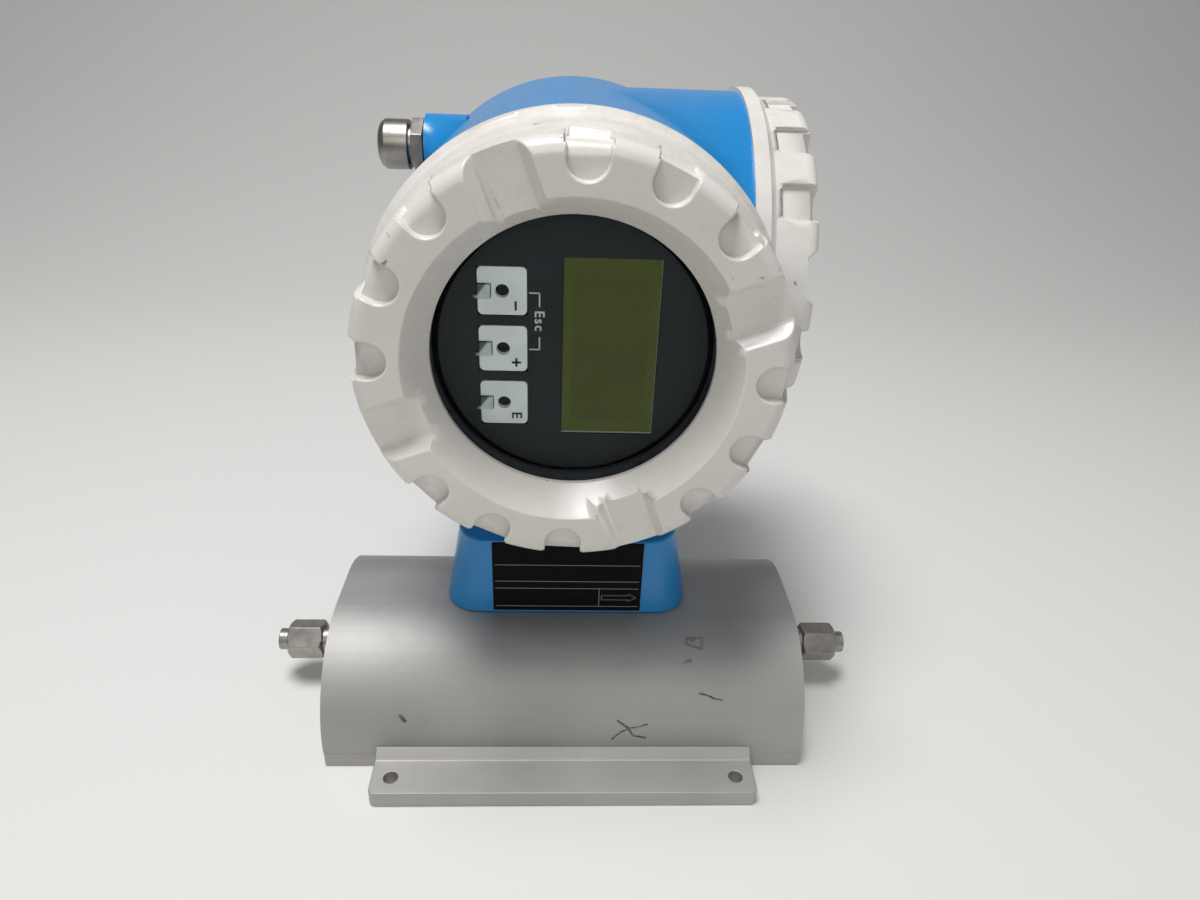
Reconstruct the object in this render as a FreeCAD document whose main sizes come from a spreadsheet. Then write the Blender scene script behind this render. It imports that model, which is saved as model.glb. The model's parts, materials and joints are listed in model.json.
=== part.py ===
"""Coriolis mass flow meter: compact sensor, pedestal and field transmitter with display.

Millimetres. X runs along the flow, Y away from the display side, Z up. The origin lies on the
standing surface, below the middle of the sensor.
"""
import FreeCAD, Part
import math
import os
import re
import Sketcher

# Driving dimensions
SIZES = (
    # Sensor enclosure
    ("sensor_length", "228"),
    ("sensor_depth", "122"),
    ("sensor_height", "58.5"),
    ("shell_foot", "2"),
    ("shell_wall", "2"),
    ("base_thickness", "8.5"),
    ("end_plate_thickness", "3"),
    ("weld_gap", "0.1"),
    # Mounting bars
    ("bar_length", "178"),
    ("bar_depth", "23"),
    ("bar_thickness", "8.5"),
    ("bar_corner", "3"),
    ("weld_leg", "4.5"),
    ("bar_hole", "6.5"),
    ("hole_end", "9"),
    ("hole_edge", "9"),
    # Tube couplings, lengths measured outwards from the end plates
    ("flow_axis_height", "25"),
    ("flow_bore", "4.4"),
    ("spigot_radius", "6"),
    ("spigot_length", "10"),
    ("collar_radius", "8.5"),
    ("collar_length", "5"),
    ("coupling_thread_radius", "7.1"),
    ("coupling_length", "19"),
    ("thread_gap", "0.1"),
    ("gasket_thickness", "1"),
    ("nut_across_flats", "17.46"),
    ("nut_start", "12"),
    ("nut_length", "18"),
    ("nut_shoulder", "5"),
    ("nut_chamfer", "1.4"),
    ("inlet_nut_angle", "-15"),
    ("outlet_nut_angle", "25"),
    ("gland_stub_radius", "5.5"),
    ("gland_flange_radius", "6.9"),
    ("gland_reach", "5"),
    ("tube_socket", "6.4"),
    ("tube_socket_depth", "12"),
    # Measuring tube and its exciter and pickups
    ("tube_diameter", "5.2"),
    ("loop_end_gap", "39"),
    ("loop_side_gap", "16"),
    ("loop_bend", "12"),
    ("fit_gap", "0.05"),
    ("carrier_gap", "2"),
    ("carrier_depth", "24"),
    ("carrier_thickness", "7.5"),
    ("clamp_inset", "1"),
    ("clamp_length", "8"),
    ("clamp_depth", "16"),
    ("clamp_cover", "5"),
    ("magnet_radius", "3"),
    ("magnet_height", "8.5"),
    ("magnet_saddle", "8"),
    ("coil_inner", "4"),
    ("coil_outer", "7"),
    ("coil_length", "8"),
    ("pickup_place", "24"),
    ("probe_gap", "1"),
    ("probe_length", "4"),
    ("probe_height", "8"),
    ("feedthrough_radius", "6"),
    ("feedthrough_flange", "9"),
    ("feedthrough_flange_height", "2"),
    ("feedthrough_depth", "8"),
    ("feedthrough_rise", "12"),
    # Pedestal
    ("pedestal_width", "120"),
    ("pedestal_top_width", "105"),
    ("pedestal_depth", "36"),
    ("pedestal_corner", "16"),
    ("pedestal_height", "42.5"),
    ("pedestal_wall", "6"),
    ("cone_height", "7"),
    ("collar_height", "4"),
    ("neck_radius", "28"),
    ("swivel_spigot", "11"),
    ("swivel_radius", "24"),
    ("swivel_gap", "0.3"),
    ("wire_bore", "10"),
    ("swivel_seal_rise", "6.5"),
    ("swivel_seal_height", "3"),
    ("swivel_seal_depth", "2.5"),
    ("lock_screw_rise", "3.4"),
    ("lock_screw_radius", "2"),
    ("plate_width", "72"),
    ("plate_top_margin", "0.5"),
    ("plate_thickness", "0.8"),
    ("plate_margin", "2"),
    # Transmitter housing
    ("cover_lift", "1.4"),
    ("housing_front", "20"),
    ("barrel_step", "1"),
    ("front_barrel_end", "122"),
    ("barrel_bevel", "7"),
    ("cover_spacing", "3"),
    ("cross_step", "2"),
    ("cross_right", "74"),
    ("cross_left", "5"),
    ("neck_root", "24"),
    ("cover_clearance", "0.6"),
    ("barrel_flange", "6"),
    ("front_wall", "13"),
    ("front_bore_depth", "14"),
    ("terminal_wall", "8"),
    ("terminal_floor", "18"),
    ("divider_wall", "6"),
    ("divider_place", "60"),
    ("cross_wall", "8"),
    ("pocket_side_wall", "16"),
    ("pocket_level_wall", "15"),
    # Covers, heights measured outwards from the housing face
    ("rim_step", "4"),
    ("cover_flange", "84"),
    ("flange_height", "6.5"),
    ("flange_step", "2"),
    ("neck_taper", "0.8"),
    ("cover_gap", "0.1"),
    ("skirt_length", "12"),
    ("skirt_wall", "4.5"),
    ("front_cover_height", "50"),
    ("terminal_cover_height", "29"),
    ("front_rim_start", "23"),
    ("terminal_rim_start", "9"),
    ("rim_rounding", "6"),
    ("rim_width", "18.5"),
    ("window_slope", "8.5"),
    ("window_lip", "2"),
    ("glass_ledge", "5"),
    ("glass_thickness", "6"),
    ("glass_front", "34.4"),
    ("retainer_height", "3"),
    ("retainer_width", "4.5"),
    ("cover_wall", "6"),
    ("blind_recess", "6.5"),
    ("blind_wall", "5"),
    ("seal_margin", "6"),
    ("seal_width", "3"),
    ("seal_height", "2.5"),
    ("front_cover_angle", "20.2"),
    ("terminal_cover_angle", "-13"),
    ("notch_width", "15"),
    ("notch_mouth", "23"),
    ("notch_depth", "5.5"),
    ("scoop_radius", "7"),
    ("scoop_length", "14"),
    ("scoop_depth", "4.5"),
    ("recess_width", "16"),
    ("recess_depth", "2.7"),
    ("recess_length", "17"),
    ("notch_count", "4"),
    ("scoops_between", "3"),
    ("cover_edge", "0.8"),
    ("recess_corner", "2"),
    ("notch_corner", "2"),
    # Display
    ("display_front", "47"),
    ("bezel_radius", "51"),
    ("bezel_thickness", "3"),
    ("screen_width", "36.5"),
    ("screen_height", "71"),
    ("screen_place", "13.8"),
    ("screen_recess", "0.8"),
    ("key_side", "18.6"),
    ("key_pitch", "22.4"),
    ("key_place", "26.6"),
    ("key_hole", "5"),
    ("key_slot_width", "5.5"),
    ("key_slot_depth", "5"),
    ("key_corner", "2"),
    ("inlay_gap", "0.2"),
    ("prism_rise", "1"),
    ("board_thickness", "1.6"),
    ("display_board_radius", "46"),
    ("display_gap", "8"),
    ("display_body_depth", "13"),
    ("display_spigot", "40"),
    ("holder_side_gap", "8"),
    ("holder_gap", "0.4"),
    # Electronics
    ("carrier_plate", "3"),
    ("carrier_margin", "4"),
    ("board_inset", "1"),
    ("board_pitch", "15"),
    ("post_radius", "2.5"),
    ("post_inset", "5"),
    ("spacer_radius", "4"),
    ("chip_height", "6"),
    # Terminals
    ("block_depth", "18"),
    ("block_width", "30"),
    ("block_length", "84"),
    ("block_place", "22"),
    ("terminal_count", "9"),
    ("terminal_pitch", "9"),
    ("terminal_screw_radius", "2.2"),
    ("terminal_screw_height", "2"),
    ("wire_slot", "5"),
    ("wire_slot_depth", "10"),
    # Cable glands, lengths measured outwards from the bosses
    ("gland_spread", "54"),
    ("boss_root", "50"),
    ("boss_end", "69"),
    ("boss_radius", "14"),
    ("entry_radius", "8"),
    ("entry_thread", "12"),
    ("gland_across_flats", "21"),
    ("gland_hex_height", "5.5"),
    ("gland_neck_radius", "8.6"),
    ("gland_neck_length", "8"),
    ("gland_bore", "6"),
    ("cap_radius", "11.2"),
    ("cap_start", "7"),
    ("cap_length", "14"),
    ("cap_wall", "3"),
    ("cap_mouth", "5.2"),
    ("cap_dome", "3"),
    ("insert_bore", "4.5"),
    ("insert_head", "8"),
    ("insert_head_height", "2.5"),
)

# Places and fits that follow from the driving dimensions
FITS = {
    "shell_corner": "sensor_height - base_thickness - shell_foot",
    "loop_half_width": "sensor_length / 2 - loop_end_gap",
    "loop_depth": "sensor_depth / 2 - loop_side_gap",
    "carrier_length": "sensor_length - 2 * spigot_length - 2 * carrier_gap",
    "clamp_spacing": "carrier_length - clamp_length - 2 * clamp_inset",
    "probe_place": "clamp_spacing / 2 - clamp_length / 2 - probe_gap - probe_length / 2",
    "pedestal_shoulder": "sensor_height + pedestal_height",
    "collar_bottom": "pedestal_shoulder + cone_height",
    "swivel_height": "collar_bottom + collar_height",
    "spigot_top": "swivel_height + swivel_spigot",
    "swivel_seal_place": "swivel_height + swivel_seal_rise",
    "lock_screw_height": "swivel_height + lock_screw_rise",
    "plate_height": "pedestal_height - plate_margin - plate_top_margin",
    "axis_height": "spigot_top + cover_lift + cover_flange + cover_clearance",
    "front_barrel": "cover_flange - barrel_step",
    "cross_barrel": "cover_flange - cross_step",
    "cross_axis": "cover_flange + barrel_flange + cover_spacing - housing_front",
    "neck_top": "axis_height - front_barrel + neck_root",
    "front_bore": "front_barrel - front_wall",
    "terminal_bore": "cross_barrel - terminal_wall",
    "pocket_left": "front_bore - pocket_side_wall",
    "pocket_height": "2 * (front_bore - pocket_level_wall)",
    "cover_radius": "cover_flange - rim_step",
    "face_inner": "cover_radius - rim_width",
    "window_radius": "face_inner - window_slope",
    "glass_radius": "window_radius + glass_ledge",
    "retainer_inner": "glass_radius - retainer_width",
    "cover_inner": "glass_radius + cover_wall",
    "seal_inner": "cover_flange - seal_margin",
    "display_radius": "cover_inner - display_gap",
    "holder_radius": "front_bore - holder_side_gap",
    "carrier_width": "pocket_left + terminal_floor - divider_wall - 2 * carrier_margin",
    "carrier_height": "pocket_height - 2 * carrier_margin",
    "board_width": "carrier_width - 2 * board_inset",
    "board_height": "carrier_height - 2 * board_inset",
}

UP = FreeCAD.Rotation()
TO_FRONT = FreeCAD.Rotation(FreeCAD.Vector(1, 0, 0), 90)
TO_RIGHT = FreeCAD.Rotation(FreeCAD.Vector(0, 1, 0), 90)
TO_LEFT = FreeCAD.Rotation(FreeCAD.Vector(0, 1, 0), -90)
AXIS_Z = FreeCAD.Vector(0, 0, 1)
EIGHTH_TURN = FreeCAD.Rotation(AXIS_Z, 45)
HERE = ("0", "0", "0")

doc = FreeCAD.newDocument("FlowMeter")
sheet = doc.addObject("Spreadsheet::Sheet", "Sizes")
for row, (alias, number) in enumerate(SIZES, 1):
    sheet.set("A%d" % row, alias)
    sheet.set("B%d" % row, number)
    sheet.setAlias("B%d" % row, alias)
doc.recompute()

ALIASES = {alias for alias, number in SIZES}
nodes = []


def cells(text):
    """Turn a formula in size names into one that reads the sheet."""
    return re.sub(r"[a-z_]+", lambda word: prefixed(word.group(0)), text)


def prefixed(word):
    if word in FITS:
        return "(%s)" % cells(FITS[word])
    return "Sizes." + word if word in ALIASES else word


def size(alias):
    return float(getattr(sheet, alias))


def node(item, label):
    """Name a finished sub-part after the file that it is written to."""
    item.Label = label
    nodes.append(item)
    return item


def place(item, at=HERE, turn=UP):
    item.Placement = FreeCAD.Placement(FreeCAD.Vector(), turn)
    for axis, text in zip("xyz", at):
        item.setExpression("Placement.Base." + axis, cells(text))
    return item


def block(name, sides, at, turn=UP):
    item = doc.addObject("Part::Box", name)
    for side, text in zip(("Length", "Width", "Height"), sides):
        item.setExpression(side, cells(text))
    return place(item, at, turn)


def rod(name, radius, height, at, turn=UP):
    item = doc.addObject("Part::Cylinder", name)
    item.setExpression("Radius", cells(radius))
    item.setExpression("Height", cells(height))
    return place(item, at, turn)


def hexagon(name, across_flats, height, at, turn=UP):
    item = doc.addObject("Part::Prism", name)
    item.Polygon = 6
    item.setExpression("Circumradius", cells("(%s) / (2 * cos(30 deg))" % across_flats))
    item.setExpression("Height", cells(height))
    return place(item, at, turn)


def joined(name, *items):
    item = doc.addObject("Part::MultiFuse", name)
    item.Shapes = list(items)
    return item


def shared(name, first, second):
    item = doc.addObject("Part::Common", name)
    item.Base = first
    item.Tool = second
    return item


def cut(name, base, *tools):
    item = doc.addObject("Part::Cut", name)
    item.Base = base
    item.Tool = tools[0] if len(tools) == 1 else joined(name + "_tools", *tools)
    return item


def group(name, items):
    """Several like pieces kept in one node."""
    item = doc.addObject("Part::Compound", name)
    item.Links = list(items)
    return item


def origin_feature(body, role):
    return next(part for part in body.Origin.OriginFeatures if part.Role == role)


def blank_sketch(body, role, name):
    sketch = body.newObject("Sketcher::SketchObject", name)
    sketch.AttachmentSupport = (origin_feature(body, role), [""])
    sketch.MapMode = "FlatFace"
    return sketch


def tie(sketch, constraint, text):
    """Add a dimension whose value is a formula in size names."""
    index = sketch.addConstraint(constraint)
    sketch.setExpression("Constraints[%d]" % index, cells(text))


def draw_outline(sketch, points):
    """A closed outline of straight edges through points given as formulas."""
    count = len(points)
    spread = 100
    corners = []
    for index in range(count):
        angle = 2 * math.pi * index / count
        corners.append(FreeCAD.Vector(spread * math.cos(angle), spread * math.sin(angle), 0))
    for index, corner in enumerate(corners):
        sketch.addGeometry(Part.LineSegment(corner, corners[(index + 1) % count]), False)
    for index in range(count):
        sketch.addConstraint(Sketcher.Constraint("Coincident", index, 2, (index + 1) % count, 1))
    for index, (across, along) in enumerate(points):
        corner = corners[index]
        tie(sketch, Sketcher.Constraint("DistanceX", -1, 1, index, 1, corner.x), across)
        tie(sketch, Sketcher.Constraint("DistanceY", -1, 1, index, 1, corner.y), along)


def draw_rounded(sketch, width, depth, corner):
    """A centred rectangle with four round corners."""
    wide, deep, bend = 60, 40, 10
    right, left, top, low = wide - bend, bend - wide, deep - bend, bend - deep
    spots = ((right, low), (right, top), (left, top), (left, low))
    starts = ((left, -deep, right, -deep), (wide, low, wide, top), (right, deep, left, deep), (-wide, top, -wide, low))
    for number, (spot, line) in enumerate(zip(spots, starts)):
        start = FreeCAD.Vector(line[0], line[1], 0)
        end = FreeCAD.Vector(line[2], line[3], 0)
        sketch.addGeometry(Part.LineSegment(start, end), False)
        circle = Part.Circle(FreeCAD.Vector(spot[0], spot[1], 0), AXIS_Z, bend)
        begin = math.radians(90 * number - 90)
        sketch.addGeometry(Part.ArcOfCircle(circle, begin, begin + math.radians(90)), False)
    for number in range(4):
        line, arc, following = 2 * number, 2 * number + 1, (2 * number + 2) % 8
        sketch.addConstraint(Sketcher.Constraint("Tangent", line, 2, arc, 1))
        sketch.addConstraint(Sketcher.Constraint("Tangent", arc, 2, following, 1))
        direction = "Horizontal" if number % 2 == 0 else "Vertical"
        sketch.addConstraint(Sketcher.Constraint(direction, line))
    for arc in (3, 5, 7):
        sketch.addConstraint(Sketcher.Constraint("Equal", 1, arc))
    sketch.addConstraint(Sketcher.Constraint("Symmetric", 0, 1, 4, 1, -1, 1))
    tie(sketch, Sketcher.Constraint("Radius", 1, bend), corner)
    tie(sketch, Sketcher.Constraint("DistanceX", 6, 1, 2, 1, 2 * wide), width)
    tie(sketch, Sketcher.Constraint("DistanceY", 0, 1, 4, 1, 2 * deep), depth)


def draw_arch(sketch, half_width, low, high, corner):
    """The section of the sensor shell: upright feet, round shoulders and a flat top."""
    wide, foot, top, bend = 60, 10, 60, 40
    shoulder = top - bend
    points = [(-wide, foot), (wide, foot), (wide, shoulder), (wide - bend, top), (bend - wide, top), (-wide, shoulder)]
    corners = [FreeCAD.Vector(across, up, 0) for across, up in points]
    sketch.addGeometry(Part.LineSegment(corners[0], corners[1]), False)
    sketch.addGeometry(Part.LineSegment(corners[1], corners[2]), False)
    right = Part.Circle(FreeCAD.Vector(wide - bend, shoulder, 0), AXIS_Z, bend)
    sketch.addGeometry(Part.ArcOfCircle(right, 0, math.pi / 2), False)
    sketch.addGeometry(Part.LineSegment(corners[3], corners[4]), False)
    left = Part.Circle(FreeCAD.Vector(bend - wide, shoulder, 0), AXIS_Z, bend)
    sketch.addGeometry(Part.ArcOfCircle(left, math.pi / 2, math.pi), False)
    sketch.addGeometry(Part.LineSegment(corners[5], corners[0]), False)
    sketch.addConstraint(Sketcher.Constraint("Coincident", 0, 2, 1, 1))
    sketch.addConstraint(Sketcher.Constraint("Coincident", 5, 2, 0, 1))
    for first in (1, 2, 3, 4):
        sketch.addConstraint(Sketcher.Constraint("Tangent", first, 2, first + 1, 1))
    sketch.addConstraint(Sketcher.Constraint("Vertical", 1))
    sketch.addConstraint(Sketcher.Constraint("Horizontal", 3))
    sketch.addConstraint(Sketcher.Constraint("Vertical", 5))
    sketch.addConstraint(Sketcher.Constraint("Equal", 2, 4))
    sketch.addConstraint(Sketcher.Constraint("Symmetric", 0, 1, 0, 2, -2))
    tie(sketch, Sketcher.Constraint("Radius", 2, bend), corner)
    tie(sketch, Sketcher.Constraint("DistanceX", -1, 1, 1, 1, wide), half_width)
    tie(sketch, Sketcher.Constraint("DistanceY", -1, 1, 0, 1, foot), low)
    tie(sketch, Sketcher.Constraint("DistanceY", -1, 1, 3, 1, top), high)


def draw_scoop(sketch, centre, radius, reach):
    """A thumb scoop: a half circle with two straight sides that run out of the rim."""
    middle, bend, out = 70, 7, 95
    low, high = FreeCAD.Vector(middle, -bend, 0), FreeCAD.Vector(middle, bend, 0)
    far_low, far_high = FreeCAD.Vector(out, -bend, 0), FreeCAD.Vector(out, bend, 0)
    sketch.addGeometry(Part.LineSegment(low, far_low), False)
    sketch.addGeometry(Part.LineSegment(far_low, far_high), False)
    sketch.addGeometry(Part.LineSegment(far_high, high), False)
    circle = Part.Circle(FreeCAD.Vector(middle, 0, 0), AXIS_Z, bend)
    sketch.addGeometry(Part.ArcOfCircle(circle, math.pi / 2, 3 * math.pi / 2), False)
    sketch.addConstraint(Sketcher.Constraint("Coincident", 0, 2, 1, 1))
    sketch.addConstraint(Sketcher.Constraint("Coincident", 1, 2, 2, 1))
    sketch.addConstraint(Sketcher.Constraint("Tangent", 2, 2, 3, 1))
    sketch.addConstraint(Sketcher.Constraint("Tangent", 3, 2, 0, 1))
    sketch.addConstraint(Sketcher.Constraint("Horizontal", 0))
    sketch.addConstraint(Sketcher.Constraint("Vertical", 1))
    sketch.addConstraint(Sketcher.Constraint("PointOnObject", 3, 3, -1))
    tie(sketch, Sketcher.Constraint("DistanceX", -1, 1, 3, 3, middle), centre)
    tie(sketch, Sketcher.Constraint("Radius", 3, bend), radius)
    tie(sketch, Sketcher.Constraint("DistanceX", -1, 1, 1, 1, out), reach)


def turned(name, points, at=HERE, turn=UP):
    """A piece turned about its own Z axis, from (radius, height) formulas."""
    body = doc.addObject("PartDesign::Body", name)
    sketch = blank_sketch(body, "XZ_Plane", name + "_section")
    draw_outline(sketch, points)
    feature = body.newObject("PartDesign::Revolution", name + "_turned")
    feature.Profile = sketch
    feature.ReferenceAxis = (sketch, ["V_Axis"])
    feature.Angle = 360
    return place(body, at, turn)


def ring(name, inner, outer, low, high, at=HERE, turn=UP):
    return turned(name, [(inner, low), (outer, low), (outer, high), (inner, high)], at, turn)


def extruded(name, sketch, length, symmetric=False):
    """Pad a sketch in its own body."""
    body = sketch.getParentGeoFeatureGroup()
    feature = body.newObject("PartDesign::Pad", name)
    feature.Profile = sketch
    feature.setExpression("Length", cells(length))
    if symmetric:
        feature.SideType = "Symmetric"
    return feature


def pocketed(name, sketch, length, reverse=False):
    body = sketch.getParentGeoFeatureGroup()
    feature = body.newObject("PartDesign::Pocket", name)
    feature.Profile = sketch
    feature.setExpression("Length", cells(length))
    feature.Reversed = reverse
    return feature


def rounded_edges(name, body, radius, chosen):
    """Fillet the edges of a body that a test picks."""
    doc.recompute()
    base = body.Tip
    picked = ["Edge%d" % index for index, edge in enumerate(base.Shape.Edges, 1) if chosen(edge)]
    feature = body.newObject("PartDesign::Fillet", name)
    feature.Base = (base, picked)
    feature.setExpression("Radius", cells(radius))
    return feature


def lies_at(edge, level):
    box = edge.BoundBox
    return box.ZLength < 1e-3 and abs(box.ZMax - level) < 1e-3


def upright_at(across, along):
    """A test for upright edges at one place in plan."""
    def chosen(edge):
        box = edge.BoundBox
        slim = box.XLength < 1e-6 and box.YLength < 1e-6
        return slim and abs(box.XMin - across) < 1e-3 and abs(box.YMin - along) < 1e-3
    return chosen


def sensor_shell():
    body = doc.addObject("PartDesign::Body", "sensor_shell")
    outer = blank_sketch(body, "YZ_Plane", "shell_outside")
    draw_arch(outer, "sensor_depth / 2", "base_thickness", "sensor_height", "shell_corner")
    extruded("shell_form", outer, "sensor_length", True)
    inner = blank_sketch(body, "YZ_Plane", "shell_inside")
    draw_arch(inner, "sensor_depth / 2 - shell_wall", "base_thickness", "sensor_height - shell_wall",
              "shell_corner - shell_wall")
    hollow = pocketed("shell_hollow", inner, "sensor_length")
    hollow.SideType = "Symmetric"
    hole = blank_sketch(body, "XY_Plane", "shell_wire_hole")
    circle = hole.addGeometry(Part.Circle(FreeCAD.Vector(), AXIS_Z, 6), False)
    hole.addConstraint(Sketcher.Constraint("Coincident", circle, 3, -1, 1))
    tie(hole, Sketcher.Constraint("Radius", circle, 6), "feedthrough_radius + fit_gap")
    pocketed("shell_wire_opening", hole, "sensor_height", True)
    return node(place(body), "sensor_shell")


def end_plate(label, side):
    body = doc.addObject("PartDesign::Body", label)
    form = blank_sketch(body, "YZ_Plane", label + "_form")
    draw_arch(form, "sensor_depth / 2 - shell_wall - weld_gap", "base_thickness",
              "sensor_height - shell_wall - weld_gap", "shell_corner - shell_wall - weld_gap")
    extruded(label + "_plate", form, "end_plate_thickness")
    hole = blank_sketch(body, "YZ_Plane", label + "_hole")
    circle = hole.addGeometry(Part.Circle(FreeCAD.Vector(0, 25, 0), AXIS_Z, 6), False)
    hole.addConstraint(Sketcher.Constraint("PointOnObject", circle, 3, -2))
    tie(hole, Sketcher.Constraint("Radius", circle, 6), "spigot_radius + fit_gap")
    tie(hole, Sketcher.Constraint("DistanceY", -1, 1, circle, 3, 25), "flow_axis_height")
    pocketed(label + "_opening", hole, "end_plate_thickness", True)
    start = "sensor_length / 2 - end_plate_thickness" if side > 0 else "-sensor_length / 2"
    return node(place(body, (start, "0", "0")), label)


def mounting_bar(label, turn):
    """A flat bar with a weld strip along the edge that meets the shell."""
    body = doc.addObject("PartDesign::Body", label)
    section = blank_sketch(body, "YZ_Plane", label + "_section")
    inner = "-sensor_depth / 2"
    outer = "-sensor_depth / 2 - bar_depth"
    draw_outline(section, [
        (outer, "0"), (inner, "0"), (inner, "bar_thickness + weld_leg"),
        (inner + " - weld_leg", "bar_thickness"), (outer, "bar_thickness")])
    extruded(label + "_bar", section, "bar_length", True)
    front = -size("sensor_depth") / 2 - size("bar_depth")
    end = size("bar_length") / 2
    holes = blank_sketch(body, "XY_Plane", label + "_holes")
    for side, sign in ((-1, "-1 * "), (1, "")):
        spot = FreeCAD.Vector(side * (end - size("hole_end")), front + size("hole_edge"), 0)
        circle = holes.addGeometry(Part.Circle(spot, AXIS_Z, size("bar_hole") / 2), False)
        tie(holes, Sketcher.Constraint("Radius", circle, size("bar_hole") / 2), "bar_hole / 2")
        tie(holes, Sketcher.Constraint("DistanceX", -1, 1, circle, 3, spot.x), sign + "(bar_length / 2 - hole_end)")
        tie(holes, Sketcher.Constraint("DistanceY", -1, 1, circle, 3, spot.y), outer + " + hole_edge")
    pocketed(label + "_drilled", holes, "bar_thickness + weld_leg", True)
    right, left = upright_at(end, front), upright_at(-end, front)
    rounded_edges(label + "_corners", body, "bar_corner", lambda edge: right(edge) or left(edge))
    return node(place(body, HERE, turn), label)


def coupling(prefix, at, turn, nut_angle):
    """Coupling body with spigot, gasket, union nut and tube gland on one side of the sensor."""
    bore = "flow_bore / 2"
    node(turned(prefix + "_coupling", [
        (bore, "-spigot_length"), ("spigot_radius", "-spigot_length"), ("spigot_radius", "0"),
        ("collar_radius", "0"), ("collar_radius", "collar_length"),
        ("coupling_thread_radius", "collar_length"), ("coupling_thread_radius", "coupling_length"),
        (bore, "coupling_length")], at, turn), prefix + "_coupling")
    seat = "coupling_length + gasket_thickness"
    node(ring(prefix + "_gasket", bore, "coupling_thread_radius - 2 * thread_gap", "coupling_length", seat,
              at, turn), prefix + "_gasket")
    nut_end = "nut_start + nut_length"
    shoulder = nut_end + " - nut_shoulder"
    tip = nut_end + " + gland_reach"
    node(turned(prefix + "_tube_gland", [
        (bore, seat), ("gland_flange_radius", seat), ("gland_flange_radius", shoulder + " - thread_gap"),
        ("gland_stub_radius", shoulder + " - thread_gap"), ("gland_stub_radius", tip),
        ("tube_socket / 2", tip), ("tube_socket / 2", tip + " - tube_socket_depth"),
        (bore, tip + " - tube_socket_depth")], at, turn), prefix + "_tube_gland")
    angled = turn.multiply(FreeCAD.Rotation(AXIS_Z, size(nut_angle)))
    blank = hexagon(prefix + "_nut_blank", "nut_across_flats", nut_end, at, angled)
    corner = "nut_across_flats / (2 * cos(30 deg)) + thread_gap"
    flat = "nut_across_flats / 2 - nut_chamfer / 2"
    bored = "coupling_thread_radius + thread_gap"
    mouth = "gland_stub_radius + thread_gap"
    form = turned(prefix + "_nut_form", [
        (bored, "nut_start"), (flat, "nut_start"), (corner, "nut_start + nut_chamfer"),
        (corner, nut_end + " - nut_chamfer"), (flat, nut_end), (mouth, nut_end), (mouth, shoulder),
        (bored, shoulder)], at, turn)
    node(shared(prefix + "_nut", blank, form), prefix + "_nut")


def measuring_tube():
    """One bent tube: straight ends on the flow axis and a loop towards the back."""
    end = size("sensor_length") / 2 - size("spigot_length")
    half = size("sensor_length") / 2 - size("loop_end_gap")
    depth = size("sensor_depth") / 2 - size("loop_side_gap")
    bend = size("loop_bend")
    route = [(-end, 0), (-half, 0), (-half, depth), (half, depth), (half, 0), (end, 0)]
    corners = [FreeCAD.Vector(across, along, 0) for across, along in route]
    edges = []
    start = corners[0]
    for before, corner, after in zip(corners, corners[1:], corners[2:]):
        entry = corner + (before - corner).normalize() * bend
        leave = corner + (after - corner).normalize() * bend
        centre = entry + leave - corner
        middle = centre + (corner - centre).normalize() * bend
        edges.append(Part.LineSegment(start, entry).toShape())
        edges.append(Part.Arc(entry, middle, leave).toShape())
        start = leave
    edges.append(Part.LineSegment(start, corners[-1]).toShape())
    path = Part.Wire(edges)
    solids = []
    for radius in (size("tube_diameter") / 2, size("flow_bore") / 2):
        section = Part.Wire(Part.makeCircle(radius, corners[0], FreeCAD.Vector(1, 0, 0)))
        solids.append(path.makePipeShell([section], True, False))
    item = doc.addObject("Part::Feature", "measuring_tube")
    item.Shape = solids[0].cut(solids[1])
    return node(place(item, ("0", "0", "flow_axis_height")), "measuring_tube")


def tube_carrier():
    bar = block("tube_carrier", ("carrier_length", "carrier_depth", "carrier_thickness"),
                ("-carrier_length / 2", "-carrier_depth / 2", "base_thickness"))
    node(bar, "tube_carrier")
    clamps = []
    floor = "base_thickness + carrier_thickness"
    for side, sign in (("inlet", "-"), ("outlet", "")):
        middle = sign + "clamp_spacing / 2"
        blank = block(side + "_clamp_blank",
                      ("clamp_length", "clamp_depth", "flow_axis_height + clamp_cover - (%s)" % floor),
                      (middle + " - clamp_length / 2", "-clamp_depth / 2", floor))
        hole = rod(side + "_clamp_hole", "tube_diameter / 2 + fit_gap", "clamp_length",
                   (middle + " - clamp_length / 2", "0", "flow_axis_height"), TO_RIGHT)
        clamps.append(cut(side + "_clamp", blank, hole))
    node(group("tube_clamps", clamps), "tube_clamps")


def oscillator(prefix, at, angle):
    """A magnet on a saddle on the tube, and the coil on the base that it dips into."""
    turn = FreeCAD.Rotation(AXIS_Z, angle)
    saddle_low = "-magnet_saddle / 2"
    saddle = block(prefix + "_saddle", ("magnet_saddle", "magnet_saddle", "magnet_saddle"),
                   (saddle_low, saddle_low, saddle_low))
    pole = rod(prefix + "_pole", "magnet_radius", "magnet_height", ("0", "0", saddle_low + " - magnet_height"))
    hole = rod(prefix + "_saddle_hole", "tube_diameter / 2 + fit_gap", "magnet_saddle",
               (saddle_low, "0", "0"), TO_RIGHT)
    moving = cut(prefix + "_magnet", joined(prefix + "_magnet_form", saddle, pole), hole)
    node(place(moving, at, turn), prefix + "_magnet")
    node(ring(prefix + "_coil", "coil_inner", "coil_outer", "0", "coil_length", (at[0], at[1], "base_thickness")),
         prefix + "_coil")


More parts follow.
